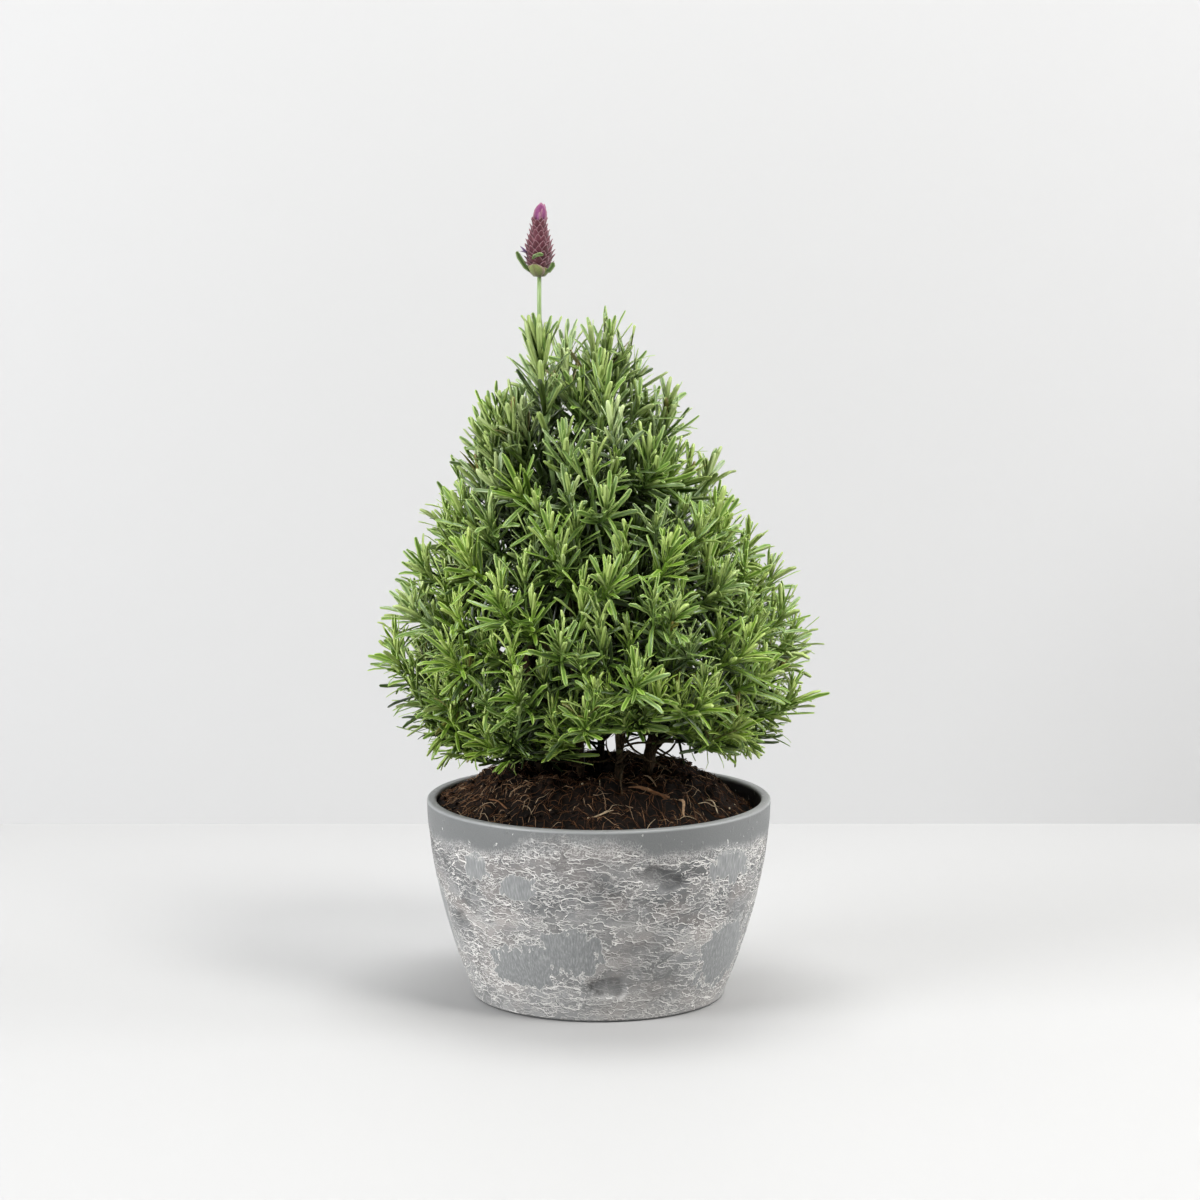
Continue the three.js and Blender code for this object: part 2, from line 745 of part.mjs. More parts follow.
function tuftGeometry() {
  const foot = spikeFoot.clone().addScaledVector(up, SPIKE_HEIGHT + FIT_GAP);
  const surface = new Surface();
  const square = (radius, height) =>
    Array.from({ length: 4 }, (_, side) => {
      const angle = ((side + 0.5) / 4) * 2 * Math.PI;
      return pointing(angle, 0).multiplyScalar(radius).setZ(height).add(foot);
    });
  const [lower, upper] = [square(2.6, 0), square(3.4, 2)].map((points) => surface.ring(points));
  surface.cap(lower, false);
  const bud = surface.corner(foot.clone().addScaledVector(up, TUFT_HEIGHT * 0.75));
  for (let side = 0; side < 4; side++) {
    const next = (side + 1) % 4;
    const quad = [lower[side], lower[next], upper[next], upper[side]];
    const out = pointing(((side + 1) / 4) * 2 * Math.PI, 0);
    const root = surface.middle(quad);
    const reach = TUFT_HEIGHT - PETAL_SHORTER * side;
    surface.blade(quad, {
      middle: root.clone().addScaledVector(up, reach * 0.5).addScaledVector(out, 1.7),
      across: new THREE.Vector3().crossVectors(up, out).multiplyScalar(PETAL_WIDTH / 2),
      thick: out.clone().multiplyScalar(-PETAL_THICKNESS / 2),
      tip: root.clone().addScaledVector(up, reach - 1).addScaledVector(out, 0.4),
    });
    surface.triangle(upper[side], upper[next], bud);
  }
  return surface.geometry();
}

// Plain holes for the stems, then every piece in its place
function soilGeometry() {
  let solid = soilSolid();
  for (const stem of woody) {
    const radius = (stem.radius + FIT_GAP) / Math.cos(Math.PI / woodySides(stem));
    const hole = new THREE.CylinderGeometry(radius, radius, HOLE_DEPTH, 10)
      .rotateX(Math.PI / 2)
      .translate(...pointing(degrees(stem.angle), 0).multiplyScalar(stem.distance).toArray());
    solid = solid.subtract(toSolid(hole.translate(0, 0, HOLE_FLOOR + HOLE_DEPTH / 2)));
  }
  return toGeometry(solid);
}

const numbered = (name, index) => `${name}_${String(index + 1).padStart(2, "0")}`;

addPiece("pot", potGeometry(), stoneGrey);
addPiece("soil", soilGeometry(), darkSoil);
woody.forEach((stem, i) => {
  addPiece(numbered("woody_stem", i), toGeometry(woodySolid(stem)), bark);
});
branches.forEach((branch, i) => {
  const [stem, fork] = branch.shoots.map((shoot) => toSolid(shoot.surface.geometry()));
  addPiece(numbered("leafy_branch", i), toGeometry(stem.add(fork)), leafGreen);
});
addPiece("flowering_stem", flowering.surface.geometry(), leafGreen);
addPiece("flower_spike", spikeGeometry(), bractPurple);
addPiece("flower_tuft", tuftGeometry(), tuftPink);

export default topiary;
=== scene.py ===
import math
import random

import bpy
import numpy as np
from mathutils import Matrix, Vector


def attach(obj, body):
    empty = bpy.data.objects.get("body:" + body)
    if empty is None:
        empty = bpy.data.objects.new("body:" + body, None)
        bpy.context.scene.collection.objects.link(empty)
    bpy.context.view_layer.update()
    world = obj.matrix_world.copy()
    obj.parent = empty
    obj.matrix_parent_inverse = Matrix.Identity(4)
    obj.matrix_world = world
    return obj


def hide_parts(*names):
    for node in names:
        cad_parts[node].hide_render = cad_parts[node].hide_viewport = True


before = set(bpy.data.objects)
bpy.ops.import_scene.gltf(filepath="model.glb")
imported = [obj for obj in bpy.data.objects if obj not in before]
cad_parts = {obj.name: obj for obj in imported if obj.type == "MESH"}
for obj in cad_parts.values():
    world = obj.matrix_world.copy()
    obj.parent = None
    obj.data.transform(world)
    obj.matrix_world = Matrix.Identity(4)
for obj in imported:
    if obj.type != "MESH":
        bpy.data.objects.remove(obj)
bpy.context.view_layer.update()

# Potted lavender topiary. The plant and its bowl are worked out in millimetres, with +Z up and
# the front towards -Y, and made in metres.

MM = 0.001
GOLDEN_ANGLE = math.pi * (3 - math.sqrt(5))
UP = np.array([0.0, 0.0, 1.0])

# Bowl
POT_HEIGHT = 134
RIM_RADIUS = 115
BASE_INSET = 31.5
WALL_BULGE = 1.8
POT_WALL = 6.3
POT_FLOOR = 7
FOOT_ROUND = 3
RIM_ROUND = 1.5
POT_SIDES = 440
POT_ROWS = 92
CREST_WIDTH = 0.00115  # of the light lines in the stone, in metres

# Soil
SOIL_EDGE = 125
SOIL_EDGE_TILT = 4
MOUND_TOP = 149
MOUND_SHOULDER = 0.42
SOIL_RELIEF = 2.1
SOIL_SIDES = 270
SOIL_RINGS = 90
FIBRES = 2900
CRUMBS = 320

# Crown, as grown in the solids
CROWN_OUTLINE = [
    (8, 450), (40, 426), (76, 376), (114, 316), (143, 256), (138, 212), (118, 187), (74, 179),
]
CROWN_BOTTOM = 150
CROWN_HEIGHT = 300
CROWN_LEAN = -13
SHOOT_COUNT = 80
PAIR_STEP = 8
FIRST_SHOOT_ANGLE = 0.35
LOW_RISE = 0.16
HIGH_RISE = 1.4
SHOOT_LENGTH = 66
LEAF_REACH = 19
TURN_UP = 0.18
PATH_STEPS = 60  # points along a shoot
SCATTER_TURN = 0.754877666
SCATTER_RISE = 0.56984029
SCATTER_REACH = 0.819172513

# Shoots between those of the solids: in the outer shell, and deeper in the shade
FILL_SHOOTS = 262
FILL_ANGLE = 1.9
FILL_LENGTHS = (48, 60)
INNER_SHOOTS = 330
INNER_ANGLE = 0.8
INNER_LENGTHS = (36, 50)
# INNER_SHADE is painted shade: it darkens the inner shoots' leaves, and it also shortens their
# leafy part.
INNER_SHADE = 0.48
INNER_TOP = 0.8  # share of the crown's height up to which there are inner shoots
PLACED_LENGTH = 62  # of the shoots that are listed
SHOOT_ROOM = 9  # least distance between two shoots' tips
FILL_LOW_RISE = 0.5  # the filling shoots stand more upright than the long ones
FILL_HIGH_RISE = 1.45

# Leaves
BLADE_WIDTH = 3.7
BLADE_THICKNESS = 0.8
LEAF_THICKNESS = 0.95
SOLID_WHORL_STEP = 12.5
LEAFY_REACH = 52  # how far down from its tip a shoot is leafy
YOUNG_REACH = 22  # how far down its leaves are still young and upright
YOUNG_STEP = 2.4  # between pairs of leaves at the tip
NODE_STEP = 5.8  # between pairs of grown leaves
WHORL_ROOM = 2.6  # kept clear of leaves round the solid's own whorls
WITHERED_SHARE = 0.012  # of the pairs
LOW_WIDTH = 2.55  # of the leaves low in the crown, and at its top
HIGH_WIDTH = 3.5

# The crown's lower edge over the bowl's middle: low at the left, open over the bare stems
SKIRT_LEFT = 158
SKIRT_OPEN = 180
SKIRT_RIGHT = 166
SKIRT_SIDES = 170
SKIRT_RISE = 0.19  # how much higher it hangs for each mm nearer to the front
SKIRT_WAVES = 3

# Woody stems: the direction in degrees, the distance from the axis and the thickness
WOODY_STEMS = [
    (190, 38, 4.4), (241, 25, 2.6), (293, 33, 2.3), (344, 34, 4.2), (36, 42, 2.8), (87, 31, 2.4),
    (139, 42, 2.7),
]
HOLE_FLOOR = 112
WOODY_TOP = 318
WOODY_SPREAD = 9
WOODY_TIP_RADIUS = 1.5
LOWEST_TWIG = 164
TWIG_DROP = 22
TWIG_SLANT = 0.55
TWIG_RADIUS = 1.5
DEAD_TWIGS = 16

# Flower
FLOWER_PATH = [
    (-27, -24, 330), (-33, -31, 372), (-37, -36, 415), (-38.5, -38, 450), (-38.5, -38, 486),
]
FLOWER_LEAF_END = 433
FLOWER_LOOK = 0.16
SPIKE_FOOT = np.array(FLOWER_PATH[-1], float) + UP * 0.3
SPIKE_HEIGHT = 32
TUFT_HEIGHT = 14
TUFT_LEAN = np.array([0.09, 0.0, 0.0])

# Room, in metres
ROOM_HALF_WIDTH = 4
ROOM_HALF_DEPTH = 5
ROOM_HEIGHT = 4
WALL_PLACE = 0.55
FLOOR_SHADE = (0.4, 0.4, 0.399)
WALL_SHADE = (0.482, 0.483, 0.485)
CAMERA_PLACE = (0.0008, -2.558, 0.651)
CAMERA_TILT = 8.54
CAMERA_LENS = 116.7
# Lights: name, place, target, size, power and shade
LIGHTS = [
    ("Window", (-2.4, -1.35, 1.15), (0, 0, 0.25), 1.9, 110, (0.985, 0.99, 1.0)),
    ("Lamp", (1.2, -1.25, 2.35), (0, 0, 0.2), 0.9, 58, (1.0, 0.985, 0.96)),
    ("Ceiling", (0.0, 0.25, 2.6), (0, 0.1, 0.2), 1.1, 57, (1, 1, 1)),
    ("Bounce", (2.4, -0.1, 0.9), (0, 0.1, 0.25), 1.2, 45, (1, 1, 1)),
]


# Small sums

def unit(v):
    v = np.asarray(v, float)
    return v / np.maximum(np.linalg.norm(v, axis=-1, keepdims=True), 1e-9)


def mix(a, b, share):
    return a + (b - a) * share


def smooth_step(x, low, high):
    t = np.clip((x - low) / (high - low), 0, 1)
    return t * t * (3 - 2 * t)


def pointing(angle, rise):
    flat = math.cos(rise)
    return np.array([math.cos(angle) * flat, math.sin(angle) * flat, math.sin(rise)])


def scatter(index, step):
    """A number from -1 to 1 for each index, spread evenly."""
    return ((index + 1) * step) % 1 * 2 - 1


def stray(draw, spread):
    return np.array([draw.gauss(0, spread) for _ in range(3)])


def turns(sides):
    return np.arange(sides) / sides * 2 * math.pi


def ring(angle, reach, height):
    return np.stack([np.cos(angle) * reach, np.sin(angle) * reach, angle * 0 + height], -1)


def across_from(heading):
    """Two directions square to a heading."""
    first = unit(np.cross(heading, UP if abs(heading[2]) < 0.95 else np.array([1.0, 0, 0])))
    return first, np.cross(heading, first)


# Uneven surfaces: smooth noise of about -1 to 1, at each point of an array

def lattice(x, y, z, seed):
    n = (x * 374761393 + y * 668265263 + z * 1440662683 + seed * 1274126177) & 0xFFFFFFFF
    n = ((n ^ (n >> 13)) * 1274126177) & 0xFFFFFFFF
    return ((n ^ (n >> 16)) & 0xFFFF) / 32767.5 - 1


def noise(points, size, seed=0):
    p = np.asarray(points, float) / size
    cell = np.floor(p).astype(np.int64)
    f = p - cell
    f = f * f * (3 - 2 * f)
    total = 0
    for dx in (0, 1):
        for dy in (0, 1):
            for dz in (0, 1):
                step = np.array([dx, dy, dz])
                x, y, z = np.moveaxis(cell + step, -1, 0)
                weight = np.prod(np.where(step, f, 1 - f), -1)
                total = total + weight * lattice(x, y, z, seed)
    return total


def layered_noise(points, size, layers=3, seed=0):
    total = sum(noise(points, size / 2**k, seed + k) / 2**k for k in range(layers))
    return total / (2 - 0.5 ** (layers - 1))


# Curves

class Path:
    """A line through space, measured along its length."""

    def __init__(self, points):
        self.points = np.array(points, float)
        steps = np.linalg.norm(np.diff(self.points, axis=0), axis=1)
        self.along = np.concatenate([[0], np.cumsum(steps)])
        self.length = self.along[-1]

    def at(self, distance):
        return np.stack([np.interp(distance, self.along, self.points[:, k]) for k in range(3)], -1)

    def heading(self, distance):
        step = 0.01 * self.length
        return unit(self.at(distance + step) - self.at(distance - step))


def hermite(b, c, leave, arrive, t):
    """A point of the curve that leaves b and arrives at c with the speeds given."""
    return (
        b + leave * t + (3 * (c - b) - 2 * leave - arrive) * t**2
        + (2 * (b - c) + leave + arrive) * t**3
    )


def bend_through(start, bend, end):
    t = np.linspace(0, 1, PATH_STEPS)[:, None]
    return Path((1 - t) ** 2 * start + 2 * t * (1 - t) * bend + t**2 * end)


def smooth_through(points, steps=24):
    """A curve through points, its speed fitted to the gaps between them."""
    p = [np.array(point, float) for point in points]
    p = [2 * p[0] - p[1], *p, 2 * p[-1] - p[-2]]
    made = []
    for a, b, c, d in zip(p, p[1:], p[2:], p[3:]):
        ab, bc, cd = (math.sqrt(np.linalg.norm(v - u)) for u, v in ((a, b), (b, c), (c, d)))
        leave = ((b - a) / ab - (c - a) / (ab + bc) + (c - b) / bc) * bc
        arrive = ((c - b) / bc - (d - b) / (bc + cd) + (d - c) / cd) * bc
        made += [hermite(b, c, leave, arrive, t) for t in np.arange(steps) / steps]
    return Path([*made, p[-2]])


# Meshes

class Pile:
    """The corners, faces and marks of many small shapes that make one piece."""

    def __init__(self):
        self.corners, self.faces, self.marks, self.count = [], [], [], 0

    def add(self, corners, faces, marks):
        corners = np.asarray(corners, float).reshape(-1, 3)
        marks = np.broadcast_to(np.asarray(marks, float), (len(corners), 4))
        self.corners.append(corners)
        self.marks.append(marks)
        self.faces.extend((np.asarray(block) + self.count) for block in faces)
        self.count += len(corners)

    def mesh(self, name):
        mesh = bpy.data.meshes.new(name)
        sizes = np.concatenate([np.full(len(block), block.shape[1]) for block in self.faces])
        loops = np.concatenate([block.ravel() for block in self.faces])
        mesh.vertices.add(self.count)
        mesh.vertices.foreach_set("co", (np.concatenate(self.corners) * MM).ravel())
        mesh.loops.add(len(loops))
        mesh.loops.foreach_set("vertex_index", loops.astype(np.int32))
        mesh.polygons.add(len(sizes))
        mesh.polygons.foreach_set("loop_start", (np.cumsum(sizes) - sizes).astype(np.int32))
        mesh.update(calc_edges=True)
        return mesh

    def piece(self, name, material, slot, replaces=()):
        mesh = self.mesh(name)
        marks = mesh.color_attributes.new("marks", "FLOAT_COLOR", "POINT")
        marks.data.foreach_set("color", np.concatenate(self.marks).astype(np.float32).ravel())
        mesh.shade_smooth()
        mesh.materials.append(material)
        piece = bpy.data.objects.new(name, mesh)
        bpy.context.scene.collection.objects.link(piece)
        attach(piece, "root")
        if replaces:
            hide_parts(*replaces)


def grid_faces(rows, columns, wraps=True):
    """Four-sided faces between rows of corners, and from the last column back to the first."""
    row, column = np.meshgrid(np.arange(rows - 1), np.arange(columns - (not wraps)), indexing="ij")
    following = (column + 1) % columns
    corners = [
        row * columns + column,
        row * columns + following,
        (row + 1) * columns + following,
        (row + 1) * columns + column,
    ]
    return np.stack(corners, -1).reshape(-1, 4)


def fan(edge, centre, flipped=False):
    pairs = zip(edge, np.roll(edge, -1))
    return np.array([(b, a, centre) if flipped else (a, b, centre) for a, b in pairs])


def closed_faces(rows, sides, flipped=False):
    """Faces of a stack of rings, with a centre corner after them for either end."""
    wall, first, last = grid_faces(rows, sides), np.arange(sides), rows * sides
    return [
        wall[:, ::-1] if flipped else wall,
        fan(first, last, not flipped),
        fan(first + last - sides, last + 1, flipped),
    ]


def tube(pile, path, radii, sides, marks, steps=12, roughness=0.0):
    """A tube along a path, closed at both ends."""
    distances = np.linspace(0, path.length, steps + 1)
    centres = path.at(distances)
    headings = path.heading(distances)
    first, _ = across_from(headings[0])
    turn = turns(sides)
    rows = []
    for centre, heading, distance in zip(centres, headings, distances):
        first = unit(first - heading * np.dot(first, heading))
        second = np.cross(heading, first)
        radius = np.interp(distance / path.length, np.linspace(0, 1, len(radii)), radii)
        row = centre + radius * (np.outer(np.cos(turn), first) + np.outer(np.sin(turn), second))
        if roughness:
            row = row + unit(row - centre) * roughness * radius * noise(row, 2.4, 5)[:, None]
        rows.append(row)
    if callable(marks):
        marks = marks(np.concatenate([np.repeat(distances / path.length, sides), [0, 1]]))
    corners = np.concatenate([*rows, centres[:1], centres[-1:]])
    pile.add(corners, closed_faces(steps + 1, sides), marks)


# Materials

def rgba(shade):
    """A colour for a socket, from one grey, three linear parts or six hex digits."""
    if isinstance(shade, str):
        parts = [int(shade[i:i + 2], 16) / 255 for i in (1, 3, 5)]
        shade = [c / 12.92 if c < 0.04045 else ((c + 0.055) / 1.055) ** 2.4 for c in parts]
    elif isinstance(shade, (int, float)):
        shade = [shade] * 3
    return (*shade, 1)


class Wiring:
    """Short ways to add and join nodes in a material or a node group."""

    def __init__(self, tree):
        self.tree = tree

    def node(self, kind, inputs=(), **settings):
        node = self.tree.nodes.new("ShaderNode" + kind)
        for name, value in settings.items():
            setattr(node, name, value)
        for name, value in dict(inputs).items():
            self.feed(node.inputs[name], value)
        return node

    def feed(self, socket, value):
        if isinstance(value, bpy.types.NodeSocket):
            self.tree.links.new(value, socket)
        else:
            socket.default_value = value

    def ramp(self, factor, *stops):
        """A colour that runs through stops, each a place and a shade."""
        node = self.node("ValToRGB", {"Fac": factor})
        elements = node.color_ramp.elements
        while len(elements) < len(stops):
            elements.new(0.5)
        for element, (place, shade) in zip(elements, stops):
            element.position = place
            element.color = rgba(shade)
        return node.outputs["Color"]

    def blend(self, factor, first, second, kind="MIX"):
        node = self.node("Mix", data_type="RGBA", blend_type=kind)
        self.feed(node.inputs["Factor"], factor)
        for place, shade in ((6, first), (7, second)):
            made = isinstance(shade, bpy.types.NodeSocket)
            self.feed(node.inputs[place], shade if made else rgba(shade))
        return node.outputs[2]

    def tint(self, body, factor, *stops):
        """The body's colour times the colour of a ramp."""
        return self.blend(1.0, body, self.ramp(factor, *stops), "MULTIPLY")

    def sum(self, operation, *values, kind="Math"):
        node = self.node(kind, operation=operation)
        for socket, value in zip(node.inputs, values):
            self.feed(socket, value)
        return node.outputs[0]

    def vector(self, operation, *values):
        return self.sum(operation, *values, kind="VectorMath")

    def span(self, value, start, end, first, last):
        """A value carried from one range to another."""
        return self.node("MapRange", {
            "Value": value, "From Min": start, "From Max": end, "To Min": first, "To Max": last,
        }).outputs[0]

    def cloud(self, place, scale, detail, roughness=0.5):
        return self.node("TexNoise", {
            "Vector": place, "Scale": scale, "Detail": detail, "Roughness": roughness,
        }).outputs


def mottle_group():
    """Fine uneven shade and relief, shared by every finish."""
    group = bpy.data.node_groups.new("Mottle", "ShaderNodeTree")
    for name, value in (("Grain", 900.0), ("Stretch", 1.0), ("Spread", 0.5)):
        socket = group.interface.new_socket(name, in_out="INPUT", socket_type="NodeSocketFloat")
        socket.default_value = value
    for name in ("Shade", "Height"):
        group.interface.new_socket(name, in_out="OUTPUT", socket_type="NodeSocketFloat")
    w = Wiring(group)
    given = group.nodes.new("NodeGroupInput")
    result = group.nodes.new("NodeGroupOutput")
    place = w.node("TexCoord").outputs["Object"]
    squeeze = w.node("CombineXYZ", {"X": 1.0, "Y": 1.0, "Z": given.outputs["Stretch"]})
    stretched = w.vector("MULTIPLY", place, squeeze.outputs[0])
    fine = w.cloud(stretched, given.outputs["Grain"], detail=3.0, roughness=0.6)["Fac"]
    centred = w.sum("SUBTRACT", fine, 0.5)
    w.feed(result.inputs["Shade"], w.sum("MULTIPLY_ADD", centred, given.outputs["Spread"], 0.5))
    w.feed(result.inputs["Height"], fine)
    return group


MOTTLE = mottle_group()


def new_material(name):
    material = bpy.data.materials.new(name)
    material.use_nodes = True
    return material, Wiring(material.node_tree), material.node_tree.nodes["Principled BSDF"]


def read_marks(w):
    """The four marks that each corner of a piece carries."""
    attribute = w.node("Attribute", attribute_name="marks")
    parts = w.node("SeparateColor", {"Color": attribute.outputs["Color"]})
    return [*parts.outputs, attribute.outputs["Alpha"]]


def add_mottle(w, grain, stretch, spread):
    inputs = {"Grain": grain, "Stretch": stretch, "Spread": spread}
    node = w.node("Group", inputs, node_tree=MOTTLE)
    return node.outputs["Shade"], node.outputs["Height"]


def finish(w, shader, body, roughness, gloss, height, depth, strength):
    """Colour, gloss and fine relief, which every finish has."""
    w.feed(shader.inputs["Base Color"], body)
    w.feed(shader.inputs["Roughness"], roughness)
    w.feed(shader.inputs["Specular IOR Level"], gloss)
    bump = w.node("Bump", {"Height": height, "Distance": depth, "Strength": strength})
    w.feed(shader.inputs["Normal"], bump.outputs["Normal"])


def join_shaders(w, material, share, first, second):
    joined = w.node("MixShader", {"Fac": share})
    w.feed(joined.inputs[1], first.outputs[0])
    w.feed(joined.inputs[2], second.outputs[0])
    w.feed(material.node_tree.nodes["Material Output"].inputs["Surface"], joined.outputs[0])


def leaf_material():
    """Marks: tone, groove along the middle (painted shade), margin, and painted shade deep in the
    crown, then withering.
    """
    material, w, shader = new_material("Leaf")
    tone, groove, margin, shade_and_withering = read_marks(w)
    shade, height = add_mottle(w, grain=420.0, stretch=0.6, spread=0.7)
    body = w.ramp(tone, (0.0, "#a3b890"), (0.2, "#8eac63"), (0.5, "#89ad3f"), (0.8, "#9fbe45"),
                  (1.0, "#b6c957"))
    # Painted shade: the groove along the middle is darkened.
    body = w.tint(body, groove, (0.05, 1), (0.5, (0.56, 0.63, 0.4)), (1.0, (0.26, 0.34, 0.14)))
    body = w.blend(w.ramp(margin, (0.0, 0), (0.22, 0.6), (0.5, 0.15)), body, "#bfce80")
    # Painted shade: leaves deep in the crown are darkened towards near black; from 0.76 up the mark
    # browns withered leaves.
    body = w.tint(body, shade_and_withering, (0.0, 1), (0.15, (0.76, 0.8, 0.66)), (0.42, (0.16, 0.22, 0.07)),
                  (0.7, (0.05, 0.07, 0.02)), (0.8, (0.62, 0.42, 0.34)), (1.0, (0.42, 0.26, 0.17)))
    body = w.tint(body, shade, (0.25, (0.8, 0.82, 0.76)), (0.75, (1.1, 1.08, 1.1)))
    finish(w, shader, body, roughness=0.38, gloss=0.65, height=height, depth=0.0002, strength=0.4)
    glow = w.node("BsdfTranslucent", {"Color": w.blend(0.35, body, "#a9bd3a")})
    join_shaders(w, material, 0.1, shader, glow)
    return material


def bark_material():
    """Marks: how green the twig is."""
    material, w, shader = new_material("Bark")
    green = read_marks(w)[0]
    shade, height = add_mottle(w, grain=900.0, stretch=0.25, spread=1.4)
    body = w.ramp(shade, (0.1, "#150e0a"), (0.5, "#32241a"), (0.9, "#6b513b"))
    body = w.blend(w.sum("MULTIPLY", green, 0.5), body, "#6d7a48")
    finish(w, shader, body, roughness=0.88, gloss=0.2, height=height, depth=0.0006, strength=0.8)
    return material


def soil_material():
    """Marks: tone from black peat to rusty and pale fibre, and painted shade where the soil lies
    low.
    """
    material, w, shader = new_material("Fibre_soil")
    tone, hollow_shade = read_marks(w)[:2]
    shade, height = add_mottle(w, grain=700.0, stretch=1.0, spread=1.2)
    body = w.ramp(tone, (0.0, "#0b0806"), (0.3, "#1b130e"), (0.55, "#37251a"), (0.75, "#5e4029"),
                  (0.88, "#94755a"), (1.0, "#d2c3a6"))
    body = w.tint(body, shade, (0.2, (0.4, 0.38, 0.36)), (0.8, (1.35, 1.3, 1.25)))
    # Painted shade: near black where the soil lies low and at its sides.
    body = w.blend(hollow_shade, body, "#050302")
    finish(w, shader, body, roughness=0.92, gloss=0.15, height=height, depth=0.0008, strength=0.7)
    return material


# Sheets of stone: scale, shift, and how strong its lip, its shadow and its tone are
TORN_SHEETS = [
    (24.0, 1.7, 1.0, 0.9, 0.09), (39.0, 3.1, 0.9, 0.8, 0.08), (66.0, 5.3, 0.75, 0.7, 0.06),
    (118.0, 7.9, 0.4, 0.45, 0.05),
]


def torn_sheet(w, place, scale, shift):
    """A thin ragged sheet of stone: where it lies, its light lip and the shadow under the lip."""
    found = []
    for step in (0.0, 1.0, -1.0):
        at = w.vector("ADD", place, (
            shift + 0.25 * step * CREST_WIDTH, 0.7 * shift + 0.1 * step * CREST_WIDTH,
            1.3 * shift + step * CREST_WIDTH,
        ))
        found.append(w.sum("GREATER_THAN", w.cloud(at, scale, 4.0, 0.54)["Fac"], 0.5))
    here, above, below = found
    lip = w.sum("ABSOLUTE", w.sum("SUBTRACT", here, below))
    shadow = w.sum("ABSOLUTE", w.sum("SUBTRACT", above, here))
    return here, lip, shadow


def stone_sheets(w, place, busy):
    """The sheets over each other: their light crests, their shadows and their uneven tone."""
    squeezed = w.vector("MULTIPLY", place, (1.0, 1.0, 2.0))
    push = w.cloud(squeezed, 30.0, detail=3.0, roughness=0.6)["Color"]
    torn = w.vector("MULTIPLY_ADD", push, (0.012, 0.012, 0.012), squeezed)
    crests, shadows, tone = 0.0, 0.0, 1.0
    for scale, shift, lip_share, shadow_share, tone_share in TORN_SHEETS:
        here, lip, shadow = torn_sheet(w, torn, scale, shift)
        patchy = w.cloud(w.vector("ADD", place, (shift, 2 * shift, 0)), 60.0, 3.0)["Fac"]
        seen = w.ramp(w.sum("MULTIPLY_ADD", busy, 0.2, patchy), (0.42, 0.25), (0.62, 1))
        lip = w.sum("MULTIPLY", lip, w.sum("MULTIPLY", seen, lip_share))
        shadow = w.sum("MULTIPLY", shadow, w.sum("MULTIPLY", seen, shadow_share))
        crests = w.sum("MAXIMUM", crests, lip)
        shadows = w.sum("MAXIMUM", shadows, shadow)
        tone = w.sum("ADD", tone, w.sum("MULTIPLY_ADD", here, 2 * tone_share, -tone_share))
    return crests, shadows, tone


def rough_stone(w, place, shade, tone, shadows):
    """The stone between the crests: speckled grey in warm clouds, paler at the foot as painted
    light and darker near the rim as painted shade.
    """
    cloud, _ = add_mottle(w, grain=34.0, stretch=1.4, spread=2.4)
    warmth, _ = add_mottle(w, grain=22.0, stretch=1.6, spread=3.0)
    ground = w.ramp(cloud, (0.1, "#696b6b"), (0.45, "#7d7e7e"), (0.9, "#949391"))
    ground = w.blend(w.ramp(warmth, (0.5, 0), (0.9, 0.4)), ground, "#988e88")
    ground = w.tint(ground, shade, (0.15, (0.72, 0.72, 0.73)), (0.5, 0.98),
                    (0.9, (1.28, 1.28, 1.27)))
    toned = w.node("CombineXYZ", {"X": tone, "Y": tone, "Z": tone})
    ground = w.blend(1.0, ground, toned.outputs[0], "MULTIPLY")
    ground = w.blend(w.sum("MULTIPLY", shadows, 0.75), ground, "#343435")
    height = w.node("SeparateXYZ", {"Vector": place}).outputs["Z"]
    # Painted light: paler towards the foot, as if lit from the floor.
    ground = w.blend(w.span(height, 0.0, 0.07, 0.3, 0.0), ground, "#b3b2b0")
    # Painted shade: darker from 70 mm up to the rim.
    return w.blend(w.span(height, 0.07, 0.1, 0.0, 0.42), ground, "#545455")


